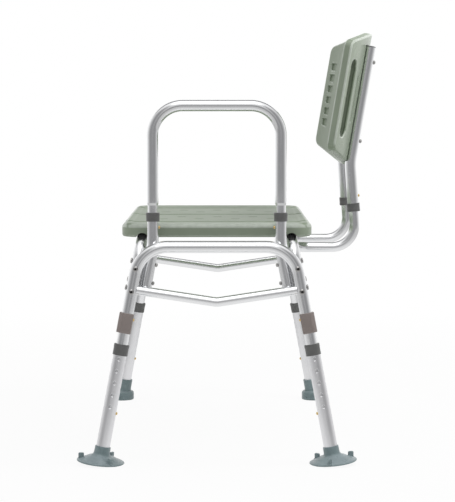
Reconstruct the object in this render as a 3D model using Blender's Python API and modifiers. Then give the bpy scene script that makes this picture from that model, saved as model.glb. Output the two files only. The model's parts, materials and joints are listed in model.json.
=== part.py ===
"""Bariatric tub transfer bench.

Metres, +Z up. X runs along the bench, with the arm rail at its +X end. Y runs front to back,
with the backrest at +Y. The origin is on the floor, under the middle of the whole bench. Sizes
and places below are worked out from the middle of the seat, and the last step moves them there.
A height, drop or rise is along Z. The drops and rises count from the piece that each fits on, so
that the frame, arm rail and backrest all follow the seat's height.
"""
import math

import bmesh
import bpy
from mathutils import Matrix, Vector

# Seat
SEAT_LENGTH = 0.660
SEAT_DEPTH = 0.405
SEAT_TOP = 0.500
SEAT_THICKNESS = 0.030
SEAT_CORNER_RADIUS = 0.042
SEAT_CORNER_STEPS = 4
SEAT_EDGE_RADIUS = 0.0080
SEAT_DISH_DEPTH = 0.0045
SEAT_DISH_INSET = 0.015
SEAT_DISH_SLOPE = 0.012
SEAT_GROOVE_PITCH = 0.245
SEAT_GROOVE_WIDTH = 0.013
SEAT_GROOVE_DEPTH = 0.003
SEAT_GROOVE_SIDES = 18
DRAIN_LENGTH = 0.016
DRAIN_WIDTH = 0.006
DRAIN_ROW_STEP = 0.068
DRAIN_COLUMN_STEP = 0.080

# Tubes
FRAME_TUBE = 0.0254
FRAME_WALL = 0.0014
BRACE_TUBE = 0.0200
EXTENSION_TUBE = 0.0286
EXTENSION_WALL = 0.0012
ARM_TUBE = 0.0240
ARM_SPIGOT = 0.0216
BACK_TUBE = 0.0222
UPRIGHT_TUBE = 0.0254
UPRIGHT_WALL = 0.0012
TUBE_SIDES = 12
BEND_STEPS = 5
SLIGHT_BEND_STEPS = 2

# End frames and their legs
LEG_FOOT_Y = 0.2452
LEG_TILT_X = math.radians(4.0042)
LEG_TILT_Y = math.radians(10.5367)
FRAME_TOP_DROP = 0.013
FRAME_BEND_RADIUS = 0.070
FRAME_LEG_END = 0.088
BRACE_END_DROP = 0.0887
BRACE_APEX_DROP = 0.0267
BRACE_BEND_RADIUS = 0.040
BRACE_BOLT_RISE = 0.0022
BRACE_BOLT_BITE = 0.015

# Seat rails, which run under the seat and down behind the legs
RAIL_DROP = 0.004
RAIL_BEND_RADIUS = 0.060
RAIL_LEG_LENGTH = 0.119

# Arm rail and its two receivers
ARM_RISE = 0.248
ARM_BEND_RADIUS = 0.063
ARM_SEAT_GAP = 0.0012
ARM_SWAGE_RISE = 0.0175
ARM_SWAGE_LENGTH = 0.018
ARM_SPIGOT_DROP = 0.0475
ARM_BUTTON_DROP = 0.031
ARM_COLLAR_RISE = 0.0235
RECEIVER_DROP = 0.110
RECEIVER_BEND_RADIUS = 0.070
RECEIVER_BEND_DROP = 0.014
RECEIVER_BEND_STEPS = 1

# Backrest and its support
BACK_SPACING = 0.248
BACK_BASE_BEND_RADIUS = 0.042
BACK_ELBOW_RADIUS = 0.050
BACK_STUB_REACH = 0.1021375
BACK_STUB_TILT = math.radians(4.2892)
BACK_STUB_RISE = 0.0535
BACK_COLLAR_RISE = 0.0125
BACK_BUTTON_RISE = 0.0345
UPRIGHT_BEND_RISE = 0.1095
UPRIGHT_RISE = 0.255
UPRIGHT_TILT = math.radians(9.5142)
UPRIGHT_BEND_RADIUS = 0.120
PLUG_HEAD = 0.0020
PLUG_LENGTH = 0.010

# Backrest panel, in its own leaning plane
PANEL_WIDTH = 0.484
PANEL_RADIUS = 0.555
PANEL_THICKNESS = 0.020
PANEL_CENTRE_HEIGHT = 0.302
PANEL_SIDE_HEIGHT = 0.234
PANEL_MIDDLE_DROP = 0.1155
PANEL_CORNER_RADIUS = 0.018
PANEL_EDGE_RADIUS = 0.0045
PANEL_SEAT_DEPTH = 0.006
PANEL_BOLT_DROPS = (0.032, 0.206)
PANEL_BOLT_RECESS = 0.0050
PANEL_RECESS_DIAMETER = 0.0150
PANEL_COLUMNS = 10
PANEL_CORNER_STEPS = 2
GRIP_SLOT_FROM_EDGE = 0.028
GRIP_SLOT_DROP = 0.004
GRIP_SLOT_LENGTH = 0.170
GRIP_SLOT_WIDTH = 0.024
GRIP_SLOT_DEPTH = 0.009
GRIP_WINDOW_FROM_EDGE = 0.031
GRIP_WINDOW_RISE = 0.0035
GRIP_WINDOW_COUNT = 6
GRIP_WINDOW_PITCH = 0.0267
GRIP_WINDOW_HEIGHT = 0.016
GRIP_WINDOW_WIDTH = 0.026
GRIP_WINDOW_DEPTH = 0.007
SIDE_GROOVE_FROM_EDGE = 0.076
SIDE_GROOVE_LENGTH = 0.104
SIDE_GROOVE_WIDTH = 0.008
SIDE_GROOVE_DEPTH = 0.003

# Leg extensions, collars and feet
LEG_COLLAR_TOP = 0.2500
COLLAR_HEIGHT = 0.0235
COLLAR_WALL = 0.0015
COLLAR_LIP = 0.0030
SMALL_COLLAR_HEIGHT = 0.0185
HOLE_COUNT = 5
HOLE_PITCH = 0.0254
FIRST_HOLE_HEIGHT = 0.2195
HOLE_DIAMETER = 0.0070
BUTTON_DIAMETER = 0.0064
BUTTON_PROUD = 0.0030
BUTTON_DOME = 0.0012
BUTTON_SIDES = 8
HOLE_SIDES = 6
CUP_DIAMETER = 0.100
CUP_TILT = math.radians(5.7)
CUP_STEM_DIAMETER = 0.0330
CUP_STEM_TOP = 0.0365
CUP_STEM_STRAIGHT = 0.018
CUP_STEM_LENGTH = 0.025
CUP_STEM_FLARE = 0.004
CUP_SIDES = 20
CUP_HUB_DIAMETER = 0.052
CUP_HUB_HEIGHT = 0.0150
CUP_HUB_EDGE = 0.0128
CUP_SKIRT_DIAMETER = 0.0736
CUP_SKIRT_HEIGHT = 0.0057
CUP_LIP_THICKNESS = 0.0030
CUP_HOLLOW_DIAMETER = 0.088
CUP_HOLLOW_DEPTH = 0.0065
CUP_FLOOR_CUT = 0.0015
CUP_TAB_RADIUS = 0.0410
CUP_TAB_WIDTH = 0.0115
CUP_TAB_HEIGHT = 0.0130
CUP_TAB_THICKNESS = 0.0050
CUP_TAB_CORNER = 0.0025
CUP_TAB_COUNT = 3
CUP_TAB_TURN = {-1: math.radians(60), 1: math.radians(20)}
TIP_STEM_DIAMETER = 0.0356
TIP_STEM_TOP = 0.0530
TIP_BASE_DIAMETER = 0.0570
TIP_BASE_HEIGHT = 0.0225
TIP_SHOULDER = 0.0070
TIP_SIDES = 16
FOOT_FLOOR = 0.0110

# Moulded clips on the near legs
CLIP_MIDDLE_HEIGHT = 0.2940
CLIP_HEIGHT = 0.0425
CLIP_OUTER_REACH = 0.0165
CLIP_INNER_REACH = 0.0138
CLIP_HALF_DEPTH = 0.0155
CLIP_CHAMFER = 0.0075
CLIP_EDGE_BEVEL = 0.0012
CLIP_BUTTON_HEIGHT = 0.3030

# Fasteners
BOLT_DIAMETER = 0.0050
BOLT_HEAD_DIAMETER = 0.0118
BOLT_HEAD_HEIGHT = 0.0026
BOLT_HEAD_EDGE = 0.0010
BOLT_CLEARANCE = 0.0005
BOLT_SIDES = 6
NUT_WIDTH = 0.0092
NUT_HEIGHT = 0.0042
BOLT_TAIL = 0.0015
LEG_BOLT_DROPS = (0.0592, 0.1069)
RECEIVER_BOLT_DROPS = (0.0460, 0.0845)
SADDLE_GAP = 0.0096
SADDLE_X = 0.062
SADDLE_LENGTH = 0.034
SADDLE_WIDTH = 0.022
SADDLE_SCREW_BITE = 0.014

# Clearances
CONTACT = 0.0003
BUTTON_CLEARANCE = 0.0003
CUT_OVERRUN = 0.004

# Modelling
WELD = 0.00002
SHARP_ANGLE = math.radians(50)
SLOT_STEPS = 3
NEARLY_PARALLEL = 0.95

NEAR, FAR = 1, -1
FRONT, REAR = -1, 1
LEGS = [(end, side) for end in (NEAR, FAR) for side in (FRONT, REAR)]
END_NAMES = {NEAR: "near", FAR: "far"}
SIDE_NAMES = {FRONT: "front", REAR: "rear"}

COLLECTION = "transfer_bench"
CUTTERS = "transfer_bench_cutters"


def clear_scene():
    for item in list(bpy.data.objects):
        bpy.data.objects.remove(item, do_unlink=True)


def collection(name):
    found = bpy.data.collections.get(name)
    if found is None:
        found = bpy.data.collections.new(name)
    if found.name not in bpy.context.scene.collection.children:
        bpy.context.scene.collection.children.link(found)
    return found


def finish(name, colour, metallic, roughness):
    material = bpy.data.materials.new(name)
    material.use_nodes = True
    shader = material.node_tree.nodes["Principled BSDF"]
    shader.inputs["Base Color"].default_value = (*colour, 1.0)
    shader.inputs["Metallic"].default_value = metallic
    shader.inputs["Roughness"].default_value = roughness
    return material


FINISHES = {}


def make_finishes():
    FINISHES["seat_plastic"] = finish("sage_plastic", (0.27, 0.33, 0.25), 0.0, 0.55)
    FINISHES["aluminium"] = finish("polished_aluminium", (0.80, 0.81, 0.82), 1.0, 0.22)
    FINISHES["collar_plastic"] = finish("dark_grey_plastic", (0.095, 0.097, 0.095), 0.0, 0.50)
    FINISHES["clip_plastic"] = finish("taupe_plastic", (0.21, 0.175, 0.165), 0.0, 0.50)
    FINISHES["rubber"] = finish("blue_grey_rubber", (0.14, 0.20, 0.22), 0.0, 0.60)
    FINISHES["brass"] = finish("brass", (0.72, 0.50, 0.20), 1.0, 0.30)
    FINISHES["zinc"] = finish("zinc_steel", (0.55, 0.54, 0.52), 1.0, 0.35)


def add_object(name, data, group, material=None):
    item = bpy.data.objects.new(name, data)
    collection(group).objects.link(item)
    if material:
        data.materials.clear()
        data.materials.append(FINISHES[material])
    return item


def add_cutter(name, data):
    item = add_object(name, data, CUTTERS)
    item.hide_render = True
    item.display_type = "WIRE"
    return item


def shade(data):
    data.shade_smooth()
    data.set_sharp_from_angle(angle=SHARP_ANGLE)


def rounded_edges(item, width, segments):
    step = item.modifiers.new("edges", "BEVEL")
    step.width = width
    step.segments = segments
    step.limit_method = "ANGLE"
    step.angle_limit = SHARP_ANGLE


def boolean(item, cutter, operation="DIFFERENCE"):
    step = item.modifiers.new(operation.lower(), "BOOLEAN")
    step.operation = operation
    step.solver = "EXACT"
    step.object = cutter
    return step


def axes_matrix(origin, x_axis, z_axis):
    """A frame with its Z along z_axis and its X as near x_axis as it can be."""
    z = Vector(z_axis).normalized()
    x = Vector(x_axis)
    x = (x - z * x.dot(z)).normalized()
    y = z.cross(x)
    matrix = Matrix((x, y, z)).transposed().to_4x4()
    matrix.translation = origin
    return matrix


def evaluated_mesh(item):
    bpy.context.view_layer.update()
    graph = bpy.context.evaluated_depsgraph_get()
    return bpy.data.meshes.new_from_object(item.evaluated_get(graph))


def curve_to_mesh(item, group, material=None):
    """Turns a curve object into a mesh object of the same name, with its caps welded."""
    data = evaluated_mesh(item)
    shape = bmesh.new()
    shape.from_mesh(data)
    bmesh.ops.remove_doubles(shape, verts=shape.verts, dist=WELD)
    shape.to_mesh(data)
    shape.free()
    name, matrix = item.name, item.matrix_world.copy()
    bpy.data.objects.remove(item, do_unlink=True)
    data.name = name
    made = add_object(name, data, group, material)
    made.matrix_world = matrix
    return made


def filleted(corners, radius, steps=BEND_STEPS):
    """The points of a path through the corners, each inner corner rounded as an arc."""
    points = [Vector(corners[0])]
    for before, corner, after in zip(corners, corners[1:], corners[2:]):
        before, corner, after = Vector(before), Vector(corner), Vector(after)
        to_before = (before - corner).normalized()
        to_after = (after - corner).normalized()
        half = to_before.angle(to_after) / 2
        middle = (to_before + to_after).normalized()
        centre = corner + middle * radius / math.sin(half)
        start = corner + to_before * radius / math.tan(half)
        normal = to_before.cross(to_after).normalized()
        sweep = -(math.pi - 2 * half)
        arm = start - centre
        for step in range(steps + 1):
            points.append(centre + Matrix.Rotation(sweep * step / steps, 3, normal) @ arm)
    points.append(Vector(corners[-1]))
    return points


def path_curve(name, points, radius, sides, caps):
    data = bpy.data.curves.new(name, "CURVE")
    data.dimensions = "3D"
    data.twist_mode = "MINIMUM"
    data.bevel_depth = radius
    data.bevel_resolution = (sides - 4) // 2
    data.use_fill_caps = caps
    spline = data.splines.new("POLY")
    spline.points.add(len(points) - 1)
    for point, place in zip(spline.points, points):
        point.co = (*place, 1.0)
    return add_object(name, data, COLLECTION)


def corner_angle(item, start, direction, facing, sides):
    """How far the first ring's corners are turned from facing, about the path's first direction."""
    across = facing - direction * facing.dot(direction)
    data = evaluated_mesh(item)
    spokes = [vertex.co - start for vertex in data.vertices]
    ring = [spoke for spoke in spokes if abs(spoke.dot(direction)) < WELD]
    corner = max(ring, key=lambda spoke: spoke.length)
    bpy.data.meshes.remove(data)
    angle = math.atan2(across.cross(corner).dot(direction), across.dot(corner))
    pitch = 2 * math.pi / sides
    return (angle + pitch / 2) % pitch - pitch / 2


def bent_bar(name, points, diameter, facing, caps=True):
    """A round bar along the points, as a curve, turned so that a corner of it faces one way."""
    start = Vector(points[0])
    direction = (Vector(points[1]) - start).normalized()
    item = path_curve(name, points, diameter / 2, TUBE_SIDES, caps)
    turn = corner_angle(item, start, direction, Vector(facing), TUBE_SIDES)
    for point in item.data.splines[0].points:
        point.tilt = -turn
    return item


def bar(name, points, diameter, facing):
    """A capped round bar, for a tube whose ends are plugged or hidden."""
    item = curve_to_mesh(bent_bar(name, points, diameter, facing), COLLECTION, "aluminium")
    shade(item.data)
    return item


def tube(name, points, diameter, wall, facing):
    """A hollow tube with open ends."""
    item = curve_to_mesh(bent_bar(name, points, diameter, facing, caps=False), COLLECTION, "aluminium")
    shade(item.data)
    step = item.modifiers.new("wall", "SOLIDIFY")
    step.thickness = wall
    step.offset = -1.0
    step.use_even_offset = True
    return item


def rod_into(shape, start, end, diameter, sides, facing=(1, 0, 0)):
    """Adds a capped cylinder from start to end to a bmesh."""
    start, end = Vector(start), Vector(end)
    length = (end - start).length
    helper = Vector(facing)
    if abs((end - start).normalized().dot(helper.normalized())) > NEARLY_PARALLEL:
        helper = helper.yzx
    matrix = axes_matrix((start + end) / 2, helper, end - start)
    bmesh.ops.create_cone(shape, cap_ends=True, segments=sides, radius1=diameter / 2,
                          radius2=diameter / 2, depth=length, matrix=matrix)


def rods(name, spans, diameter, sides, facing=(1, 0, 0)):
    """One cutter with a cylinder along each span."""
    data = bpy.data.meshes.new(name)
    shape = bmesh.new()
    for start, end in spans:
        rod_into(shape, start, end, diameter, sides, facing)
    shape.to_mesh(data)
    shape.free()
    return add_cutter(name, data)


def turned(name, profile, matrix, steps, group, material=None, closed=False):
    """A profile of (radius, height) points, spun about the matrix's Z."""
    data = bpy.data.meshes.new(name)
    verts = [(radius, 0.0, height) for radius, height in profile]
    edges = [(i, i + 1) for i in range(len(verts) - 1)]
    if closed:
        edges.append((len(verts) - 1, 0))
    data.from_pydata(verts, edges, [])
    if group == CUTTERS:
        item = add_cutter(name, data)
    else:
        item = add_object(name, data, group, material)
    item.matrix_world = matrix
    step = item.modifiers.new("spin", "SCREW")
    step.axis = "Z"
    step.steps = steps
    step.render_steps = steps
    step.use_merge_vertices = True
    step.merge_threshold = WELD
    step.use_smooth_shade = True
    return item


def arc(centre, radius, start, end, steps):
    """Points of an arc in a plane, from angle start to angle end, in degrees."""
    points = []
    for step in range(steps + 1):
        angle = math.radians(start + (end - start) * step / steps)
        points.append((centre[0] + radius * math.cos(angle), centre[1] + radius * math.sin(angle)))
    return points


def rectangle(length, width):
    x, y = length / 2, width / 2
    return [(x, y), (-x, y), (-x, -y), (x, -y)]


def rounded_rectangle(length, width, radius, steps):
    points = []
    for quadrant, (sx, sy) in enumerate(((1, 1), (-1, 1), (-1, -1), (1, -1))):
        centre = (sx * (length / 2 - radius), sy * (width / 2 - radius))
        points += arc(centre, radius, 90 * quadrant, 90 * quadrant + 90, steps)
    return points


def around(diameter, sides):
    """The diameter of a hole with so many sides that clears a round of this diameter."""
    return (diameter + 2 * CONTACT) / math.cos(math.pi / sides)


def sleeve(diameter):
    """The diameter of a hole of a tube's own polygon that leaves the contact gap all round it."""
    return diameter + 2 * CONTACT / math.cos(math.pi / TUBE_SIDES)


LEG_LEAN_X = math.tan(LEG_TILT_X)
LEG_LEAN_Y = math.tan(LEG_TILT_Y)
LEG_STRETCH = math.sqrt(1 + LEG_LEAN_X ** 2 + LEG_LEAN_Y ** 2)
RAIL_OFFSET = FRAME_TUBE + CONTACT
SEAT_BOTTOM = SEAT_TOP - SEAT_THICKNESS
RAIL_HEIGHT = SEAT_BOTTOM - RAIL_DROP
RAIL_END_HEIGHT = RAIL_HEIGHT - RAIL_LEG_LENGTH
FRAME_TOP = RAIL_HEIGHT - FRAME_TOP_DROP
BRACE_END_HEIGHT = FRAME_TOP - BRACE_END_DROP
BRACE_APEX_HEIGHT = BRACE_END_HEIGHT - BRACE_APEX_DROP
LEG_BOLT_HEIGHTS = [RAIL_HEIGHT - drop for drop in LEG_BOLT_DROPS]
RECEIVER_BOLT_HEIGHTS = [RAIL_HEIGHT - drop for drop in RECEIVER_BOLT_DROPS]
RECEIVER_BEND_HEIGHT = RAIL_HEIGHT - RECEIVER_BEND_DROP
RECEIVER_END_HEIGHT = RAIL_HEIGHT - RECEIVER_DROP
ARM_COLLAR_TOP = SEAT_TOP + ARM_COLLAR_RISE
ARM_BUTTON_HEIGHT = ARM_COLLAR_TOP - ARM_BUTTON_DROP
ARM_RAIL_END = ARM_COLLAR_TOP - ARM_SPIGOT_DROP
ARM_SWAGE_HEIGHT = ARM_COLLAR_TOP + ARM_SWAGE_RISE
ARM_TOP = SEAT_TOP + ARM_RISE
BACK_BASE_HEIGHT = RAIL_HEIGHT - FRAME_TUBE / 2 - SADDLE_GAP - BACK_TUBE / 2
BACK_COLLAR_BOTTOM = SEAT_TOP + BACK_COLLAR_RISE
BACK_BUTTON_HEIGHT = BACK_COLLAR_BOTTOM + BACK_BUTTON_RISE
BACK_STUB_END = BACK_COLLAR_BOTTOM + BACK_STUB_RISE
BACK_STUB_LEAN = math.tan(BACK_STUB_TILT)
UPRIGHT_BEND_HEIGHT = BACK_COLLAR_BOTTOM + UPRIGHT_BEND_RISE
UPRIGHT_TOP_HEIGHT = UPRIGHT_BEND_HEIGHT + UPRIGHT_RISE
UPRIGHT_LEAN = math.tan(UPRIGHT_TILT)
PANEL_MIDDLE_HEIGHT = UPRIGHT_TOP_HEIGHT - PANEL_MIDDLE_DROP
PANEL_BOLT_HEIGHTS = [UPRIGHT_TOP_HEIGHT - drop for drop in PANEL_BOLT_DROPS]
ARM_COLLAR_RADIUS = sleeve(FRAME_TUBE) / 2 + COLLAR_WALL
ARM_X = SEAT_LENGTH / 2 + ARM_SEAT_GAP + ARM_COLLAR_RADIUS
LEG_FOOT_X = (ARM_X + RAIL_OFFSET * math.sqrt(1 + LEG_LEAN_X ** 2)
              + LEG_LEAN_X * RECEIVER_BEND_HEIGHT)


def leg_point(end, side, height):
    return Vector((end * (LEG_FOOT_X - LEG_LEAN_X * height),
                   side * (LEG_FOOT_Y - LEG_LEAN_Y * height), height))


def leg_up(end, side):
    return Vector((-end * LEG_LEAN_X, -side * LEG_LEAN_Y, 1.0)).normalized()


def frame_normal(end):
    """Square to the plane of an end frame, away from the seat."""
    return Vector((end, 0.0, LEG_LEAN_X)).normalized()


def leg_outward(end, side):
    """Square to a leg, in its end frame's plane, away from the bench's middle."""
    across = frame_normal(end).cross(leg_up(end, side))
    return across if across.y * side > 0 else -across


def rail_point(end, side, height):
    """The axis of the seat rail's leg, behind the end frame's leg."""
    offset = frame_normal(end) * RAIL_OFFSET
    return leg_point(end, side, height + offset.z) - offset


def receiver_point(side, height):
    """The axis of the arm receiver's lower part, beside the seat rail's leg."""
    offset = leg_outward(NEAR, side) * (FRAME_TUBE + CONTACT)
    return rail_point(NEAR, side, height + offset.z) - offset


def bolt_profile(length, with_nut):
    """Half section of a bolt that points down from its head, with the head's seat at height 0."""
    head, shank, nut = BOLT_HEAD_DIAMETER / 2, BOLT_DIAMETER / 2, NUT_WIDTH / 2
    section = [(0.0, BOLT_HEAD_HEIGHT), (head, BOLT_HEAD_EDGE), (head, 0.0), (shank, 0.0),
               (shank, -length)]
    if with_nut:
        nut_end = -length - NUT_HEIGHT
        section += [(nut, -length), (nut, nut_end), (0.0, nut_end - BOLT_TAIL)]
    else:
        section.append((0.0, -length))
    return section


def spun_into(shape, profile, matrix, sides):
    """Adds a solid of revolution, whose profile starts and ends on the axis, to a bmesh."""
    rings = []
    for radius, height in profile:
        if radius == 0.0:
            rings.append([shape.verts.new(matrix @ Vector((0, 0, height)))])
            continue
        ring = []
        for step in range(sides):
            angle = 2 * math.pi * step / sides
            place = Vector((radius * math.cos(angle), radius * math.sin(angle), height))
            ring.append(shape.verts.new(matrix @ place))
        rings.append(ring)
    for upper, lower in zip(rings, rings[1:]):
        for step in range(sides):
            after = (step + 1) % sides
            if len(upper) == 1:
                shape.faces.new((upper[0], lower[step], lower[after]))
            elif len(lower) == 1:
                shape.faces.new((upper[step], lower[0], upper[after]))
            else:
                shape.faces.new((upper[step], lower[step], lower[after], upper[after]))


def bolt_mesh(name, place, with_nut=True):
    """A bolt whose place is its head's seat, the direction of its shank, and its grip."""
    seat, direction, length = place
    way = Vector(direction).normalized()
    helper = Vector((0, 0, 1)) if abs(way.z) < NEARLY_PARALLEL else Vector((1, 0, 0))
    data = bpy.data.meshes.new(name)
    shape = bmesh.new()
    spun_into(shape, bolt_profile(length, with_nut), axes_matrix(Vector(seat), helper, -way), BOLT_SIDES)
    shape.to_mesh(data)
    shape.free()
    shade(data)
    return data


def build_bolts(name, places, with_nut=True):
    for number, place in enumerate(places, 1):
        title = f"{name}_{number}"
        add_object(title, bolt_mesh(title, place, with_nut), COLLECTION, "zinc")


def bolt_cutter(name, places):
    """Clearance holes for the shanks of the same places."""
    spans = []
    for seat, direction, length in places:
        way = Vector(direction).normalized()
        spans.append((Vector(seat) - way * CUT_OVERRUN, Vector(seat) + way * length))
    return rods(name, spans, BOLT_DIAMETER + 2 * BOLT_CLEARANCE, BOLT_SIDES, facing=(0, 0, 1))


def plate(name, outline, bottom, top, group, material=None):
    """A flat outline of (x, y) points, extruded from height bottom to height top."""
    data = bpy.data.curves.new(name, "CURVE")
    data.dimensions = "2D"
    data.fill_mode = "BOTH"
    data.extrude = (top - bottom) / 2
    spline = data.splines.new("POLY")
    spline.points.add(len(outline) - 1)
    for point, (x, y) in zip(spline.points, outline):
        point.co = (x, y, 0.0, 1.0)
    spline.use_cyclic_u = True
    item = bpy.data.objects.new(name, data)
    collection(group).objects.link(item)
    bpy.context.view_layer.update()
    item = curve_to_mesh(item, group, material)
    for vertex in item.data.vertices:
        vertex.co.z += (top + bottom) / 2
    if group == CUTTERS:
        item.hide_render = True
        item.display_type = "WIRE"
    return item


def joined(name, items):
    """Several cutters as one object of separate bodies."""
    shape = bmesh.new()
    for item in items:
        part = evaluated_mesh(item)
        part.transform(item.matrix_world)
        shape.from_mesh(part)
        bpy.data.meshes.remove(part)
        bpy.data.objects.remove(item, do_unlink=True)
    data = bpy.data.meshes.new(name)
    shape.to_mesh(data)
    shape.free()
    return add_cutter(name, data)


def collar(name, place, up, facing, outer_tube, inner_tube, height, lip_at_top=True):
    """A moulded ring on the end of an outer tube, with a lip that runs on the inner tube."""
    outer = sleeve(outer_tube) / 2
    inner = sleeve(inner_tube) / 2
    rim = outer + COLLAR_WALL
    section = [(rim, 0.0), (rim, -height), (outer, -height), (outer, -COLLAR_LIP),
               (inner, -COLLAR_LIP), (inner, 0.0)]
    if not lip_at_top:
        up = -up
    return turned(name, section, axes_matrix(place, facing, up), TUBE_SIDES, COLLECTION,
                  "collar_plastic", closed=True)


def snap_button(name, axis_place, direction, inner_tube, outer_radius, facing):
    """A domed button that stands through an outer tube, with its foot just clear of the inner one."""
    radius = BUTTON_DIAMETER / 2
    foot = inner_tube / 2 + CONTACT
    top = outer_radius + BUTTON_PROUD
    section = [(0.0, top), (radius, top - BUTTON_DOME), (radius, foot), (0.0, foot)]
    return turned(name, section, axes_matrix(axis_place, facing, direction), BUTTON_SIDES,
                  COLLECTION, "brass")


def radial_hole(axis_place, direction, reach, depth=0.0):
    """The span of a drill that goes through one wall of a tube, from reach in to depth."""
    way = Vector(direction).normalized()
    return (Vector(axis_place) + way * depth, Vector(axis_place) + way * (reach + CUT_OVERRUN))


def drill(name, spans, diameter=BUTTON_DIAMETER + 2 * BUTTON_CLEARANCE, sides=BUTTON_SIDES,
          facing=(0, 0, 1)):
    return rods(name, spans, diameter / math.cos(math.pi / sides), sides, facing=facing)


def extension_hole_height(step):
    return FIRST_HOLE_HEIGHT - step * HOLE_PITCH / LEG_STRETCH


LEG_BUTTON_HEIGHT = extension_hole_height(HOLE_COUNT - 0.5)


def leg_button_drill():
    spans = []
    for end, side in LEGS:
        spans.append(radial_hole(leg_point(end, side, LEG_BUTTON_HEIGHT), -leg_outward(end, side),
                                 EXTENSION_TUBE / 2))
    return drill("leg_button_holes", spans)


def clip_button_drill():
    spans = []
    for side in (FRONT, REAR):
        spans.append(radial_hole(leg_point(NEAR, side, CLIP_BUTTON_HEIGHT), -leg_outward(NEAR, side),
                                 CLIP_INNER_REACH))
    return drill("clip_button_holes", spans)


def leg_bolt_places():
    """Bolts along X, through an end frame's leg and the seat rail's leg behind it."""
    places = []
    length = FRAME_TUBE + RAIL_OFFSET + 2 * CONTACT
    for end, side in LEGS:
        for height in LEG_BOLT_HEIGHTS:
            seat = leg_point(end, side, height) + frame_normal(end) * (FRAME_TUBE / 2 + CONTACT)
            places.append((seat, -frame_normal(end), length))
    return places


def receiver_bolt_places():
    """Bolts along Y, through the near rail legs and the arm receivers beside them."""
    places = []
    length = 2 * FRAME_TUBE + 3 * CONTACT
    for side in (FRONT, REAR):
        outward = leg_outward(NEAR, side)
        for height in RECEIVER_BOLT_HEIGHTS:
            seat = rail_point(NEAR, side, height) + outward * (FRAME_TUBE / 2 + CONTACT)
            places.append((seat, -outward, length))
    return places


def brace_bolt_places(end):
    """Bolts through an end frame's legs into the ends of its V brace."""
    places = []
    length = FRAME_TUBE + 2 * CONTACT + BRACE_BOLT_BITE
    for side in (FRONT, REAR):
        outward = leg_outward(end, side)
        seat = leg_point(end, side, BRACE_END_HEIGHT + BRACE_BOLT_RISE)
        places.append((seat + outward * (FRAME_TUBE / 2 + CONTACT), -outward, length))
    return places


def rail_y():
    return rail_point(NEAR, REAR, RAIL_HEIGHT).y


def saddle_screw_places():
    """Long screws up through the back support, its saddles and the rear rail, into the seat."""
    places = []
    height = BACK_BASE_HEIGHT - BACK_TUBE / 2 - CONTACT
    length = RAIL_HEIGHT + FRAME_TUBE / 2 + SADDLE_SCREW_BITE - height
    for end in (NEAR, FAR):
        places.append(((end * SADDLE_X, rail_y(), height), (0, 0, 1), length))
    return places


def stub_point(end, height):
    """The axis of a backrest stub, which leans forward as it rises."""
    y = SEAT_DEPTH / 2 + BACK_STUB_REACH - BACK_STUB_LEAN * (height - BACK_COLLAR_BOTTOM)
    return Vector((end * BACK_SPACING / 2, y, height))


def upright_point(end, height):
    """The axis of an upright above its bend, which leans back as it rises."""
    bend = stub_point(end, UPRIGHT_BEND_HEIGHT)
    return bend + Vector((0.0, UPRIGHT_LEAN, 1.0)) * (height - UPRIGHT_BEND_HEIGHT)


STUB_UP = Vector((0.0, -BACK_STUB_LEAN, 1.0)).normalized()
STUB_BACK = Vector((0.0, 1.0, BACK_STUB_LEAN)).normalized()
UPRIGHT_UP = Vector((0.0, UPRIGHT_LEAN, 1.0)).normalized()
UPRIGHT_BACK = Vector((0.0, 1.0, -UPRIGHT_LEAN)).normalized()


def panel_sag(x):
    """How far the panel's rear face at x lies in front of its rearmost line."""
    return PANEL_RADIUS - math.sqrt(PANEL_RADIUS ** 2 - x ** 2)


PANEL_REAR = PANEL_SEAT_DEPTH - UPRIGHT_TUBE / 2 + panel_sag(BACK_SPACING / 2)
PANEL_ORIGIN = Vector((0.0, upright_point(NEAR, PANEL_MIDDLE_HEIGHT).y, PANEL_MIDDLE_HEIGHT))


def panel_place(x, rise, back):
    """A point at x across the panel, rise up its plane and back behind the uprights' axes."""
    return PANEL_ORIGIN + Vector((x, 0, 0)) + UPRIGHT_UP * rise + UPRIGHT_BACK * back


def panel_frame(x, rise, from_rear):
    """A frame on the panel at x, its X up the panel and its Z square out of the rear face."""
    slope = math.asin(x / PANEL_RADIUS)
    out = UPRIGHT_BACK * math.cos(slope) + Vector((math.sin(slope), 0, 0))
    place = panel_place(x, rise, PANEL_REAR - panel_sag(x)) - out * from_rear
    return axes_matrix(place, UPRIGHT_UP, out)


def panel_bolt_places(end):
    """Bolts from recesses in the panel's face back through an upright."""
    places = []
    face = PANEL_REAR - panel_sag(BACK_SPACING / 2) - PANEL_THICKNESS
    for height in PANEL_BOLT_HEIGHTS:
        seat = upright_point(end, height) + UPRIGHT_BACK * (face + PANEL_BOLT_RECESS)
        length = UPRIGHT_TUBE / 2 + CONTACT - face - PANEL_BOLT_RECESS
        places.append((seat, UPRIGHT_BACK, length))
    return places


def build_seat(screw_holes):
    outline = rounded_rectangle(SEAT_LENGTH, SEAT_DEPTH, SEAT_CORNER_RADIUS, SEAT_CORNER_STEPS)
    seat = plate("seat", outline, SEAT_BOTTOM, SEAT_TOP, COLLECTION, "seat_plastic")
    rounded_edges(seat, SEAT_EDGE_RADIUS, 2)
    for cutter in (seat_dish(), seat_grooves(), seat_drains(), rail_channels(), screw_holes):
        boolean(seat, cutter)
    shade(seat.data)


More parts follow.
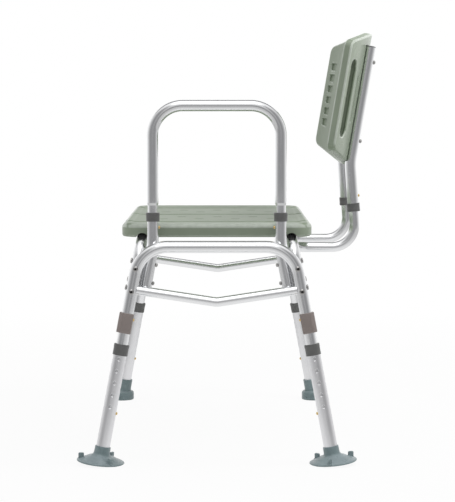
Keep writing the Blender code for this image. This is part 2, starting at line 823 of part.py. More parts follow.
def seat_dish():
    """The shallow dish in the seat's top, with sloping sides."""
    length = SEAT_LENGTH - 2 * SEAT_DISH_INSET
    depth = SEAT_DEPTH - 2 * SEAT_DISH_INSET
    floor = SEAT_TOP - SEAT_DISH_DEPTH
    radius = SEAT_CORNER_RADIUS - SEAT_DISH_INSET
    outline = rounded_rectangle(length, depth, radius, SEAT_CORNER_STEPS)
    rise = SEAT_DISH_SLOPE
    cutter = plate("seat_dish", outline, floor, SEAT_TOP, CUTTERS)
    for vertex in cutter.data.vertices:
        if vertex.co.z < floor + CONTACT:
            vertex.co.x *= 1 - 2 * rise / length
            vertex.co.y *= 1 - 2 * rise / depth
        else:
            vertex.co.x *= 1 + 2 * CONTACT / length
            vertex.co.y *= 1 + 2 * CONTACT / depth
            vertex.co.z += CONTACT
    return cutter


def seat_grooves():
    half = SEAT_DEPTH / 2 - SEAT_DISH_INSET - SEAT_DISH_SLOPE
    radius = (SEAT_GROOVE_WIDTH ** 2 / 4 + SEAT_GROOVE_DEPTH ** 2) / (2 * SEAT_GROOVE_DEPTH)
    height = SEAT_TOP - SEAT_DISH_DEPTH - SEAT_GROOVE_DEPTH + radius
    spans = []
    for step in (-1, 0, 1):
        x = step * SEAT_GROOVE_PITCH
        spans.append(((x, -half, height), (x, half, height)))
    return rods("seat_grooves", spans, 2 * radius, SEAT_GROOVE_SIDES, facing=(0, 0, 1))


def seat_drains():
    """Slots through the seat in a staggered pattern, three rows to each field."""
    tip, shoulder, half = DRAIN_LENGTH / 2, DRAIN_LENGTH / 2 - DRAIN_WIDTH / 2, DRAIN_WIDTH / 2
    outline = [(half, shoulder), (0, tip), (-half, shoulder), (-half, -shoulder), (0, -tip),
               (half, -shoulder)]
    slots = []
    for field in (-1, 1):
        for row, columns in ((-1, (-1.0, 0.0, 1.0)), (1, (-1.5, -0.5, 0.5, 1.5))):
            x = field * SEAT_GROOVE_PITCH / 2 + row * DRAIN_ROW_STEP / 2
            for column in columns:
                y = column * DRAIN_COLUMN_STEP
                slot = [(x + dx, y + dy) for dx, dy in outline]
                slots.append(plate("drain", slot, SEAT_BOTTOM - CUT_OVERRUN, SEAT_TOP, CUTTERS))
    return joined("seat_drains", slots)


def rail_channels():
    half = SEAT_LENGTH / 2 + CUT_OVERRUN
    spans = []
    for side in (FRONT, REAR):
        spans.append(((-half, side * rail_y(), RAIL_HEIGHT), (half, side * rail_y(), RAIL_HEIGHT)))
    return rods("rail_channels", spans, around(FRAME_TUBE, TUBE_SIDES), TUBE_SIDES, facing=(0, 0, 1))


def build_rails(bolt_holes, screw_holes):
    for side in (FRONT, REAR):
        corners = [rail_point(NEAR, side, RAIL_END_HEIGHT), rail_point(NEAR, side, RAIL_HEIGHT),
                   rail_point(FAR, side, RAIL_HEIGHT), rail_point(FAR, side, RAIL_END_HEIGHT)]
        rail = bar(f"{SIDE_NAMES[side]}_seat_rail", filleted(corners, RAIL_BEND_RADIUS), FRAME_TUBE,
                   frame_normal(NEAR))
        for cutter in bolt_holes:
            boolean(rail, cutter)
        if side == REAR:
            boolean(rail, screw_holes)


def build_end_frame(end, cutters):
    corners = [leg_point(end, FRONT, FRAME_LEG_END), leg_point(end, FRONT, FRAME_TOP),
               leg_point(end, REAR, FRAME_TOP), leg_point(end, REAR, FRAME_LEG_END)]
    frame = bar(f"{END_NAMES[end]}_end_frame", filleted(corners, FRAME_BEND_RADIUS), FRAME_TUBE,
                frame_normal(end))
    for cutter in cutters:
        boolean(frame, cutter)


def build_brace(end, leg_rods):
    """A V of tube between the legs, with its ends shaped round them and its bolts through them."""
    name = f"{END_NAMES[end]}_v_brace"
    apex = Vector((leg_point(end, REAR, BRACE_APEX_HEIGHT).x, 0.0, BRACE_APEX_HEIGHT))
    corners = [leg_point(end, FRONT, BRACE_END_HEIGHT), apex, leg_point(end, REAR, BRACE_END_HEIGHT)]
    brace = bar(name, filleted(corners, BRACE_BEND_RADIUS, SLIGHT_BEND_STEPS), BRACE_TUBE, frame_normal(end))
    boolean(brace, leg_rods)
    for number, place in enumerate(brace_bolt_places(end)):
        title = f"{name}_bolt_{number}"
        boolean(brace, add_cutter(title, bolt_mesh(title, place, with_nut=False)), "UNION")


def leg_cutter():
    """Rods the size of the end frames' legs, which shape the V braces' ends."""
    spans = [(leg_point(end, side, FRAME_LEG_END), leg_point(end, side, FRAME_TOP - FRAME_BEND_RADIUS))
             for end, side in LEGS]
    return rods("leg_rods", spans, sleeve(FRAME_TUBE), TUBE_SIDES)


def build_extension(end, side, button_holes):
    top = LEG_COLLAR_TOP - (COLLAR_LIP + CONTACT) / LEG_STRETCH
    points = [leg_point(end, side, FOOT_FLOOR), leg_point(end, side, top)]
    name = f"{END_NAMES[end]}_{SIDE_NAMES[side]}_leg_extension"
    extension = tube(name, points, EXTENSION_TUBE, EXTENSION_WALL, frame_normal(end))
    inner = EXTENSION_TUBE / 2 - 2 * EXTENSION_WALL
    spans = []
    for step in range(HOLE_COUNT):
        level = leg_point(end, side, extension_hole_height(step))
        between = leg_point(end, side, extension_hole_height(step + 0.5))
        for direction in (frame_normal(end), leg_outward(end, side)):
            spans.append(radial_hole(level, direction, EXTENSION_TUBE / 2, inner))
        if step < HOLE_COUNT - 1:
            spans.append(radial_hole(between, -leg_outward(end, side), EXTENSION_TUBE / 2, inner))
    boolean(extension, drill(f"{name}_holes", spans, HOLE_DIAMETER, HOLE_SIDES))
    boolean(extension, button_holes)
    collar(name.replace("extension", "collar"), leg_point(end, side, LEG_COLLAR_TOP),
           leg_up(end, side), frame_normal(end), EXTENSION_TUBE, FRAME_TUBE, COLLAR_HEIGHT)
    snap_button(name.replace("extension", "button"), leg_point(end, side, LEG_BUTTON_HEIGHT),
                -leg_outward(end, side), FRAME_TUBE, EXTENSION_TUBE / 2, frame_normal(end))


def socket_cutter(name, end, side):
    """The socket in a foot for the bottom of a leg extension."""
    floor = leg_point(end, side, FOOT_FLOOR) - leg_up(end, side) * CONTACT
    span = (floor, leg_point(end, side, TIP_STEM_TOP + CUT_OVERRUN))
    return rods(name, [span], sleeve(EXTENSION_TUBE), TUBE_SIDES, facing=frame_normal(end))


def floor_cutter():
    """A slab below the floor, which cuts the feet flat."""
    reach = 2 * (LEG_FOOT_X + CUP_DIAMETER)
    return plate("floor_slab", rectangle(reach, reach), -CUP_DIAMETER, 0.0, CUTTERS)


def cup_tab(name, matrix):
    """A pull tab with cut corners, which stands on a suction cup's skirt as a fin."""
    half, corner = CUP_TAB_WIDTH / 2, CUP_TAB_CORNER
    outline = [(-half, 0.0), (half, 0.0), (half, CUP_TAB_HEIGHT - corner), (half - corner, CUP_TAB_HEIGHT),
               (corner - half, CUP_TAB_HEIGHT), (-half, CUP_TAB_HEIGHT - corner)]
    tab = plate(name, outline, -CUP_TAB_THICKNESS / 2, CUP_TAB_THICKNESS / 2, CUTTERS)
    tab.matrix_world = matrix
    return tab


def build_cup(side, slab):
    name = f"near_{SIDE_NAMES[side]}_suction_cup"
    lean = Vector((0.0, -side * math.sin(CUP_TILT), math.cos(CUP_TILT)))
    radius = CUP_DIAMETER / 2
    foot = leg_point(NEAR, side, CUP_HUB_HEIGHT)
    origin = foot - lean * (foot.z / lean.z)
    origin.z = radius * math.sin(CUP_TILT) - CUP_FLOOR_CUT
    section = [(0.0, CUP_HUB_HEIGHT), (CUP_HUB_DIAMETER / 2, CUP_HUB_EDGE),
               (CUP_SKIRT_DIAMETER / 2, CUP_SKIRT_HEIGHT), (radius, CUP_LIP_THICKNESS),
               (radius, 0.0), (CUP_HOLLOW_DIAMETER / 2, 0.0), (0.0, CUP_HOLLOW_DEPTH)]
    disc = axes_matrix(origin, (1, 0, 0), lean)
    cup = turned(name, section, disc, CUP_SIDES, COLLECTION, "rubber")
    stem = CUP_STEM_DIAMETER / 2
    stem_section = [(0.0, 0.0), (stem, 0.0), (stem, -CUP_STEM_STRAIGHT),
                    (stem + CUP_STEM_FLARE, -CUP_STEM_LENGTH), (0.0, -CUP_STEM_LENGTH)]
    top = axes_matrix(leg_point(NEAR, side, CUP_STEM_TOP), frame_normal(NEAR), leg_up(NEAR, side))
    pieces = [turned(f"{name}_stem", stem_section, top, TUBE_SIDES, CUTTERS)]
    for step in range(CUP_TAB_COUNT):
        angle = CUP_TAB_TURN[side] + 2 * math.pi * step / CUP_TAB_COUNT
        out = Vector((-math.sin(angle), math.cos(angle), 0.0))
        foot_place = disc @ (out * CUP_TAB_RADIUS + Vector((0, 0, CUP_LIP_THICKNESS)))
        matrix = axes_matrix(foot_place, out, out.cross(lean))
        pieces.append(cup_tab(f"{name}_tab_{step}", matrix))
    for piece in pieces:
        boolean(cup, piece, "UNION")
    boolean(cup, socket_cutter(f"{name}_socket", NEAR, side))
    boolean(cup, slab)


def build_tip(side, slab):
    name = f"far_{SIDE_NAMES[side]}_rubber_tip"
    base, stem = TIP_BASE_DIAMETER / 2, TIP_STEM_DIAMETER / 2
    centre = leg_point(FAR, side, TIP_BASE_HEIGHT / 2)
    centre.z = 0.0
    section = [(0.0, TIP_BASE_HEIGHT), (stem + TIP_SHOULDER, TIP_BASE_HEIGHT),
               (base, TIP_BASE_HEIGHT - TIP_SHOULDER), (base, 0.0), (0.0, 0.0)]
    tip = turned(name, section, axes_matrix(centre, (1, 0, 0), (0, 0, 1)), TIP_SIDES, COLLECTION, "rubber")
    length = (TIP_STEM_TOP - TIP_BASE_HEIGHT / 2) * LEG_STRETCH
    stem_section = [(0.0, 0.0), (stem, 0.0), (stem, -length), (0.0, -length)]
    top = axes_matrix(leg_point(FAR, side, TIP_STEM_TOP), frame_normal(FAR), leg_up(FAR, side))
    boolean(tip, turned(f"{name}_stem", stem_section, top, TUBE_SIDES, CUTTERS), "UNION")
    boolean(tip, socket_cutter(f"{name}_socket", FAR, side))
    boolean(tip, slab)


def build_clip(side, button_holes):
    name = f"near_{SIDE_NAMES[side]}_leg_clip"
    depth, cut = CLIP_HALF_DEPTH, CLIP_CHAMFER
    outer, inner = CLIP_OUTER_REACH, -CLIP_INNER_REACH
    outline = [(outer, -depth + cut), (outer, depth - cut), (outer - cut, depth), (inner, depth),
               (inner, -depth), (outer - cut, -depth)]
    clip = plate(name, outline, -CLIP_HEIGHT / 2, CLIP_HEIGHT / 2, COLLECTION, "clip_plastic")
    clip.matrix_world = axes_matrix(leg_point(NEAR, side, CLIP_MIDDLE_HEIGHT), leg_outward(NEAR, side),
                                    leg_up(NEAR, side))
    rounded_edges(clip, CLIP_EDGE_BEVEL, 1)
    span = (leg_point(NEAR, side, CLIP_MIDDLE_HEIGHT - CLIP_HEIGHT),
            leg_point(NEAR, side, CLIP_MIDDLE_HEIGHT + CLIP_HEIGHT))
    boolean(clip, rods(f"{name}_bore", [span], sleeve(FRAME_TUBE), TUBE_SIDES, facing=frame_normal(NEAR)))
    boolean(clip, button_holes)
    snap_button(name.replace("clip", "clip_button"), leg_point(NEAR, side, CLIP_BUTTON_HEIGHT),
                -leg_outward(NEAR, side), FRAME_TUBE, CLIP_INNER_REACH, frame_normal(NEAR))


def arm_y():
    return receiver_point(REAR, RECEIVER_BEND_HEIGHT).y


def arm_button_spans():
    spans = []
    for side in (FRONT, REAR):
        place = Vector((ARM_X, side * arm_y(), ARM_BUTTON_HEIGHT))
        spans.append(radial_hole(place, (0, -side, 0), FRAME_TUBE / 2))
    return spans


def build_arm(bolt_holes):
    button_holes = drill("arm_button_holes", arm_button_spans())
    for side in (FRONT, REAR):
        name = f"{SIDE_NAMES[side]}_arm_receiver"
        top = Vector((ARM_X, side * arm_y(), ARM_COLLAR_TOP - COLLAR_LIP - CONTACT))
        bend = Vector((ARM_X, side * arm_y(), RECEIVER_BEND_HEIGHT))
        points = filleted([receiver_point(side, RECEIVER_END_HEIGHT), bend, top],
                          RECEIVER_BEND_RADIUS, RECEIVER_BEND_STEPS)
        receiver = tube(name, points, FRAME_TUBE, FRAME_WALL, frame_normal(NEAR))
        boolean(receiver, bolt_holes)
        boolean(receiver, button_holes)
        ring_place = Vector((ARM_X, side * arm_y(), ARM_COLLAR_TOP))
        collar(f"{SIDE_NAMES[side]}_arm_collar", ring_place, Vector((0, 0, 1)), (1, 0, 0), FRAME_TUBE,
               ARM_SPIGOT, SMALL_COLLAR_HEIGHT)
        snap_button(f"{SIDE_NAMES[side]}_arm_button", (ARM_X, side * arm_y(), ARM_BUTTON_HEIGHT),
                    (0, -side, 0), ARM_SPIGOT, FRAME_TUBE / 2, (1, 0, 0))
    corners = [(ARM_X, -arm_y(), ARM_SWAGE_HEIGHT + ARM_SWAGE_LENGTH), (ARM_X, -arm_y(), ARM_TOP),
               (ARM_X, arm_y(), ARM_TOP), (ARM_X, arm_y(), ARM_SWAGE_HEIGHT + ARM_SWAGE_LENGTH)]
    points = filleted(corners, ARM_BEND_RADIUS)
    spigot = [Vector((ARM_X, 0, ARM_RAIL_END)), Vector((ARM_X, 0, ARM_SWAGE_HEIGHT))]
    shift = Vector((0, arm_y(), 0))
    points = [place - shift for place in spigot] + points + [place + shift for place in reversed(spigot)]
    item = bent_bar("arm_rail", points, ARM_TUBE, (1, 0, 0))
    for point in list(item.data.splines[0].points)[:2] + list(item.data.splines[0].points)[-2:]:
        point.radius = ARM_SPIGOT / ARM_TUBE
    rail = curve_to_mesh(item, COLLECTION, "aluminium")
    shade(rail.data)
    boolean(rail, button_holes)


def build_back_support(cutters):
    base = rail_y()
    corners = [stub_point(NEAR, BACK_STUB_END), stub_point(NEAR, BACK_BASE_HEIGHT),
               (BACK_SPACING / 2, base, BACK_BASE_HEIGHT), (-BACK_SPACING / 2, base, BACK_BASE_HEIGHT),
               stub_point(FAR, BACK_BASE_HEIGHT), stub_point(FAR, BACK_STUB_END)]
    near_half = filleted(corners[:3], BACK_ELBOW_RADIUS)[:-1]
    across = filleted(corners[1:5], BACK_BASE_BEND_RADIUS)[1:-1]
    far_half = filleted(corners[3:], BACK_ELBOW_RADIUS)[1:]
    support = bar("back_support", near_half + across + far_half, BACK_TUBE, (1, 0, 0))
    for cutter in cutters:
        boolean(support, cutter)


def build_saddles(screw_holes):
    """Moulded blocks between the back support and the rear rail."""
    reach = SADDLE_X + SADDLE_LENGTH
    grooves = []
    for name, height, diameter in (("saddle_top", RAIL_HEIGHT, FRAME_TUBE),
                                   ("saddle_bottom", BACK_BASE_HEIGHT, BACK_TUBE)):
        span = ((-reach, rail_y(), height), (reach, rail_y(), height))
        grooves.append(rods(name, [span], around(diameter, TUBE_SIDES), TUBE_SIDES, facing=(0, 0, 1)))
    for end in (NEAR, FAR):
        x = end * SADDLE_X
        outline = [(x + dx, rail_y() + dy) for dx, dy in rectangle(SADDLE_LENGTH, SADDLE_WIDTH)]
        saddle = plate(f"{END_NAMES[end]}_back_saddle", outline, BACK_BASE_HEIGHT, RAIL_HEIGHT,
                       COLLECTION, "collar_plastic")
        for cutter in [*grooves, screw_holes]:
            boolean(saddle, cutter)


def back_button_drill():
    spans = []
    for end in (NEAR, FAR):
        spans.append(radial_hole(stub_point(end, BACK_BUTTON_HEIGHT), STUB_BACK, UPRIGHT_TUBE / 2))
    return drill("back_button_holes", spans, facing=(1, 0, 0))


def build_uprights(button_holes):
    for end in (NEAR, FAR):
        name = f"{END_NAMES[end]}_back_upright"
        bottom = stub_point(end, BACK_COLLAR_BOTTOM) + STUB_UP * (COLLAR_LIP + CONTACT)
        corners = [bottom, stub_point(end, UPRIGHT_BEND_HEIGHT), upright_point(end, UPRIGHT_TOP_HEIGHT)]
        points = filleted(corners, UPRIGHT_BEND_RADIUS, SLIGHT_BEND_STEPS)
        upright = tube(name, points, UPRIGHT_TUBE, UPRIGHT_WALL, (1, 0, 0))
        boolean(upright, button_holes)
        for number, place in enumerate(panel_bolt_places(end)):
            title = f"{name}_bolt_{number}"
            boolean(upright, add_cutter(title, bolt_mesh(title, place)), "UNION")
        collar(f"{END_NAMES[end]}_back_collar", stub_point(end, BACK_COLLAR_BOTTOM), STUB_UP,
               (1, 0, 0), UPRIGHT_TUBE, BACK_TUBE, SMALL_COLLAR_HEIGHT, lip_at_top=False)
        snap_button(f"{END_NAMES[end]}_back_button", stub_point(end, BACK_BUTTON_HEIGHT), STUB_BACK,
                    BACK_TUBE, UPRIGHT_TUBE / 2, (1, 0, 0))
        build_plug(end)


def build_plug(end):
    """The plastic plug in the top of an upright."""
    rim = UPRIGHT_TUBE / 2
    spigot = rim - (UPRIGHT_WALL + CONTACT) / math.cos(math.pi / TUBE_SIDES)
    section = [(0.0, PLUG_HEAD), (rim, PLUG_HEAD / 2), (rim, 0.0), (spigot, 0.0),
               (spigot, -PLUG_LENGTH), (0.0, -PLUG_LENGTH)]
    top = upright_point(end, UPRIGHT_TOP_HEIGHT) + UPRIGHT_UP * CONTACT
    turned(f"{END_NAMES[end]}_upright_plug", section, axes_matrix(top, (1, 0, 0), UPRIGHT_UP),
           TUBE_SIDES, COLLECTION, "collar_plastic")


def panel_half_heights(x):
    """The panel's top and bottom at x, measured up its plane from its middle."""
    half = PANEL_WIDTH / 2
    share = (x / half) ** 2
    reach = (PANEL_CENTRE_HEIGHT - (PANEL_CENTRE_HEIGHT - PANEL_SIDE_HEIGHT) * share) / 2
    past = max(0.0, abs(x) - (half - PANEL_CORNER_RADIUS))
    corner = PANEL_CORNER_RADIUS - math.sqrt(max(0.0, PANEL_CORNER_RADIUS ** 2 - past ** 2))
    return corner - reach, reach - corner


def panel_columns():
    """Where the panel's columns of points stand, closer together round its corners."""
    half = PANEL_WIDTH / 2
    flat = half - PANEL_CORNER_RADIUS
    middle = [flat * (2 * step / PANEL_COLUMNS - 1) for step in range(PANEL_COLUMNS + 1)]
    corner = [flat + PANEL_CORNER_RADIUS * math.sin(math.pi / 2 * step / PANEL_CORNER_STEPS)
              for step in range(1, PANEL_CORNER_STEPS + 1)]
    return [-x for x in reversed(corner)] + middle + corner


def capsule(length, width):
    """A slot's outline, long in x, with round ends."""
    radius, shift = width / 2, (length - width) / 2
    return arc((shift, 0), radius, -90, 90, SLOT_STEPS) + arc((-shift, 0), radius, 90, 270, SLOT_STEPS)


def panel_recesses():
    """Long hand slots and a shallow groove behind each wing, and a column of windows in front."""
    half = PANEL_WIDTH / 2
    cutters = []
    for side in (-1, 1):
        slot_x = side * (half - GRIP_SLOT_FROM_EDGE)
        slot = plate("slot", capsule(GRIP_SLOT_LENGTH, GRIP_SLOT_WIDTH), 0.0,
                     GRIP_SLOT_DEPTH + CUT_OVERRUN, CUTTERS)
        slot.matrix_world = panel_frame(slot_x, -GRIP_SLOT_DROP, GRIP_SLOT_DEPTH)
        cutters.append(slot)
        groove_x = side * (half - SIDE_GROOVE_FROM_EDGE)
        groove = plate("groove", capsule(SIDE_GROOVE_LENGTH, SIDE_GROOVE_WIDTH), 0.0,
                       SIDE_GROOVE_DEPTH + CUT_OVERRUN, CUTTERS)
        groove.matrix_world = panel_frame(groove_x, -GRIP_SLOT_DROP, SIDE_GROOVE_DEPTH)
        cutters.append(groove)
        window_x = side * (half - GRIP_WINDOW_FROM_EDGE)
        for step in range(GRIP_WINDOW_COUNT):
            rise = GRIP_WINDOW_RISE + (step - (GRIP_WINDOW_COUNT - 1) / 2) * GRIP_WINDOW_PITCH
            outline = rectangle(GRIP_WINDOW_HEIGHT, GRIP_WINDOW_WIDTH)
            window = plate("window", outline, -CUT_OVERRUN, GRIP_WINDOW_DEPTH, CUTTERS)
            window.matrix_world = panel_frame(window_x, rise, PANEL_THICKNESS)
            cutters.append(window)
    return joined("panel_recesses", cutters)


def build_panel(bolt_holes):
    columns = panel_columns()
    shape = bmesh.new()
    bmesh.ops.create_grid(shape, x_segments=len(columns) - 1, y_segments=1, size=1.0)
    order = sorted({round(vertex.co.x, 4) for vertex in shape.verts})
    for vertex in shape.verts:
        x = columns[order.index(round(vertex.co.x, 4))]
        low, high = panel_half_heights(x)
        rise = high if vertex.co.y > 0 else low
        vertex.co = panel_place(x, rise, PANEL_REAR - panel_sag(x))
    data = bpy.data.meshes.new("backrest_panel")
    shape.to_mesh(data)
    shape.free()
    panel = add_object("backrest_panel", data, COLLECTION, "seat_plastic")
    shell = panel.modifiers.new("thickness", "SOLIDIFY")
    shell.thickness = PANEL_THICKNESS
    shell.offset = 1.0
    shell.use_even_offset = True
    rounded_edges(panel, PANEL_EDGE_RADIUS, 2)
    spans = [(upright_point(end, UPRIGHT_BEND_HEIGHT - UPRIGHT_TUBE),
              upright_point(end, UPRIGHT_TOP_HEIGHT + CUT_OVERRUN)) for end in (NEAR, FAR)]
    boolean(panel, rods("upright_seats", spans, sleeve(UPRIGHT_TUBE), TUBE_SIDES))
    boolean(panel, panel_recesses())
    recesses = []
    for seat, way, _ in panel_bolt_places(NEAR) + panel_bolt_places(FAR):
        recesses.append((seat - way * (PANEL_BOLT_RECESS + CUT_OVERRUN), seat + way * CONTACT))
    boolean(panel, rods("bolt_recesses", recesses, PANEL_RECESS_DIAMETER, BUTTON_SIDES))
    boolean(panel, bolt_holes)
    shade(data)


def centre_on_origin():
    """Parents the pieces and cutters to an empty that puts the origin under the model's middle."""
    corners = []
    for item in collection(COLLECTION).objects:
        data = evaluated_mesh(item)
        corners += [item.matrix_world @ vertex.co for vertex in data.vertices]
        bpy.data.meshes.remove(data)
    frame = bpy.data.objects.new("transfer_bench_frame", None)
    collection(COLLECTION).objects.link(frame)
    for item in list(collection(COLLECTION).objects) + list(collection(CUTTERS).objects):
        if item is not frame:
            item.parent = frame
    for axis in (0, 1):
        values = [corner[axis] for corner in corners]
        frame.location[axis] = -(min(values) + max(values)) / 2


def build():
    clear_scene()
    make_finishes()
    leg_holes = bolt_cutter("leg_bolt_holes", leg_bolt_places())
    receiver_holes = bolt_cutter("receiver_bolt_holes", receiver_bolt_places())
    brace_holes = bolt_cutter("brace_bolt_holes", brace_bolt_places(NEAR) + brace_bolt_places(FAR))
    screw_holes = bolt_cutter("saddle_screw_holes", saddle_screw_places())
    panel_holes = bolt_cutter("panel_bolt_holes", panel_bolt_places(NEAR) + panel_bolt_places(FAR))
    leg_button_holes, clip_button_holes = leg_button_drill(), clip_button_drill()
    back_button_holes = back_button_drill()
    slab, leg_rods = floor_cutter(), leg_cutter()

    build_seat(screw_holes)
    build_rails([leg_holes, receiver_holes], screw_holes)
    build_end_frame(NEAR, [leg_holes, brace_holes, leg_button_holes, clip_button_holes])
    build_end_frame(FAR, [leg_holes, brace_holes, leg_button_holes])
    for end in (NEAR, FAR):
        build_brace(end, leg_rods)
    for end, side in LEGS:
        build_extension(end, side, leg_button_holes)
    for side in (FRONT, REAR):
        build_cup(side, slab)
        build_tip(side, slab)
        build_clip(side, clip_button_holes)
    build_arm(receiver_holes)
    build_back_support([screw_holes, back_button_holes])
    build_saddles(screw_holes)
    build_uprights(back_button_holes)
    build_panel(panel_holes)
    build_bolts("leg_bolt", leg_bolt_places())
    build_bolts("receiver_bolt", receiver_bolt_places())
    build_bolts("saddle_screw", saddle_screw_places(), with_nut=False)
    centre_on_origin()


build()
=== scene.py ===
"""Looks of the bariatric tub transfer bench.

Metres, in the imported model's frame: +Z up, the arm rail at the +X end, the backrest at +Y. Places are
worked out from the middle of the seat, and every visible piece rides on the body that it belongs to.
"""
import json
import math

import bmesh
import bpy
from mathutils import Matrix, Vector


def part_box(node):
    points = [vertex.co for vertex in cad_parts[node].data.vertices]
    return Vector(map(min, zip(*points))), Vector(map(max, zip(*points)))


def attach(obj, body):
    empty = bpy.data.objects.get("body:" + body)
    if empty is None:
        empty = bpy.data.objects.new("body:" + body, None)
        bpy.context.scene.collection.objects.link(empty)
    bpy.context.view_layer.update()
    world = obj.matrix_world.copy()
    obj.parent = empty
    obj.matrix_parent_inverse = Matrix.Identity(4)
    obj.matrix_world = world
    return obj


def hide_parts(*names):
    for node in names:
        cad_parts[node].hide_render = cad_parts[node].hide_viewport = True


ENDS = NEAR, FAR = 1, -1
SIDES = FRONT, REAR = -1, 1
LEGS = [(end, side) for end in ENDS for side in SIDES]
END_NAMES = {NEAR: "near", FAR: "far"}
SIDE_NAMES = {FRONT: "front", REAR: "rear"}

# Seat
SEAT_LENGTH = 0.660
SEAT_DEPTH = 0.405
SEAT_TOP = 0.500
SEAT_THICKNESS = 0.030
SEAT_CORNER_RADIUS = 0.042
SEAT_EDGE_RADIUS = 0.0110
SEAT_FOOT_RADIUS = 0.0050
SEAT_DISH_DEPTH = 0.0020
SEAT_DISH_INSET = 0.015
SEAT_DISH_SLOPE = 0.012
SEAT_GROOVE_PITCH = 0.245
SEAT_GROOVE_WIDTH = 0.026
SEAT_GROOVE_DEPTH = 0.0055
SEAT_GROOVE_FLAT = 0.45
DRAIN_LENGTH = 0.016
DRAIN_WIDTH = 0.006
DRAIN_ROW_STEP = 0.068
DRAIN_COLUMN_STEP = 0.080

# Tubes
FRAME_TUBE = 0.0254
FRAME_WALL = 0.0014
BRACE_TUBE = 0.0200
EXTENSION_TUBE = 0.0286
EXTENSION_WALL = 0.0012
ARM_TUBE = 0.0240
ARM_SPIGOT = 0.0216
BACK_TUBE = 0.0222
UPRIGHT_TUBE = 0.0254
UPRIGHT_WALL = 0.0012
TUBE_RESOLUTION = 18
BEND_STEPS = 16

# How far a cutter stands out of what it cuts
CLEAR = 0.004

# End frames, braces and seat rails
LEG_FOOT_Y = 0.2452
LEG_LEAN_X = 0.070
LEG_LEAN_Y = 0.186
FRAME_TOP = 0.453
FRAME_BEND_RADIUS = 0.070
FRAME_LEG_END = 0.088
BRACE_END_HEIGHT = 0.3643
BRACE_APEX_HEIGHT = 0.3376
BRACE_BEND_RADIUS = 0.040
BRACE_BOLT_RISE = 0.0022
RAIL_HEIGHT = 0.466
RAIL_BEND_RADIUS = 0.060
RAIL_END_HEIGHT = 0.347

# Arm rail and receivers
ARM_TOP = 0.748
ARM_BEND_RADIUS = 0.063
ARM_SEAT_GAP = 0.0012
ARM_SWAGE_HEIGHT = 0.5385
ARM_SWAGE_LENGTH = 0.006
ARM_RAIL_END = 0.476
RECEIVER_END_HEIGHT = 0.356
RECEIVER_BEND_RADIUS = 0.070
RECEIVER_BEND_DROP = 0.014
ARM_COLLAR_TOP = 0.5235
ARM_BUTTON_HEIGHT = 0.4925

# Back support, uprights and panel
BACK_SPACING = 0.248
BACK_BASE_HEIGHT = 0.4326
BACK_BASE_BEND_RADIUS = 0.042
BACK_ELBOW_RADIUS = 0.050
BACK_STUB_Y = 0.3040
BACK_STUB_REFERENCE = 0.521
BACK_STUB_LEAN = 0.075
BACK_STUB_END = 0.566
BACK_COLLAR_BOTTOM = 0.5125
BACK_BUTTON_HEIGHT = 0.547
UPRIGHT_BEND_HEIGHT = 0.622
UPRIGHT_TOP_HEIGHT = 0.877
UPRIGHT_LEAN = 0.1676
UPRIGHT_BEND_RADIUS = 0.120
UPRIGHT_GAP = 0.0034
PLUG_DEPTH = 0.010
PANEL_WIDTH = 0.484
PANEL_RADIUS = 0.555
PANEL_THICKNESS = 0.020
PANEL_CENTRE_HEIGHT = 0.3018
PANEL_SIDE_HEIGHT = 0.234
PANEL_MIDDLE_HEIGHT = 0.7615
PANEL_CORNER_RADIUS = 0.018
PANEL_EDGE_RADIUS = 0.0045
PANEL_CORE_INSET = 0.012
PANEL_SEAT_DEPTH = 0.006
PANEL_BOLT_HEIGHTS = (0.845, 0.671)
PANEL_BOLT_RECESS = 0.0050
PANEL_RECESS_DIAMETER = 0.0150
GRIP_SLOT_DROP = 0.004
GRIP_SLOT_DEPTH = 0.0115
GRIP_HOLLOW = 0.005
GRIP_WINDOW_FROM_EDGE = 0.031
GRIP_WINDOW_RISE = 0.0035
GRIP_WINDOW_COUNT = 6
GRIP_WINDOW_PITCH = 0.0267
GRIP_WINDOW_HEIGHT = 0.016
GRIP_WINDOW_WIDTH = 0.026
GRIP_WINDOW_DEPTH = 0.0055
GRIP_WINDOW_CORNER = 0.0035
SIDE_GROOVE_DEPTH = 0.003
# Each one's distance from the panel's edge, length and width
GRIP_SLOT = (0.033, 0.170, 0.034)
SIDE_GROOVE = (0.076, 0.104, 0.008)

# Leg extensions, collars, buttons and feet
LEG_COLLAR_TOP = 0.2500
COLLAR_SIDES = 12
COLLAR_HEIGHT = 0.0235
SMALL_COLLAR_HEIGHT = 0.0185
COLLAR_WALL = 0.0015
COLLAR_LIP = 0.0030
COLLAR_ROUNDING = 0.0008
HOLE_COUNT = 5
HOLE_PITCH = 0.0254
FIRST_HOLE_HEIGHT = 0.2195
HOLE_DIAMETER = 0.0070
HOLE_SINK = 0.0007
SINK_WIDTH = 0.0026
SINK_DEPTH = 0.0020
BUTTON_DIAMETER = 0.0064
BUTTON_PROUD = 0.0030
BUTTON_POCKET = 0.0060
CUP_DIAMETER = 0.100
CUP_TILT = math.radians(5.7)
CUP_STEM_DIAMETER = 0.0330
CUP_STEM_TOP = 0.0365
CUP_HUB_HEIGHT = 0.0150
CUP_FLOOR_CUT = 0.0015
CUP_TAB_RADIUS = 0.0410
CUP_TAB_FOOT = 0.0030
CUP_TAB_WIDTH = 0.0115
CUP_TAB_HEIGHT = 0.0130
CUP_TAB_THICKNESS = 0.0050
CUP_TAB_CORNER = 0.0025
CUP_TAB_COUNT = 3
CUP_TAB_TURN = {FRONT: math.radians(60), REAR: math.radians(20)}
TIP_STEM_DIAMETER = 0.0356
TIP_STEM_TOP = 0.0530
TIP_BASE_DIAMETER = 0.0570
TIP_BASE_HEIGHT = 0.0225
FOOT_FLOOR = 0.0110

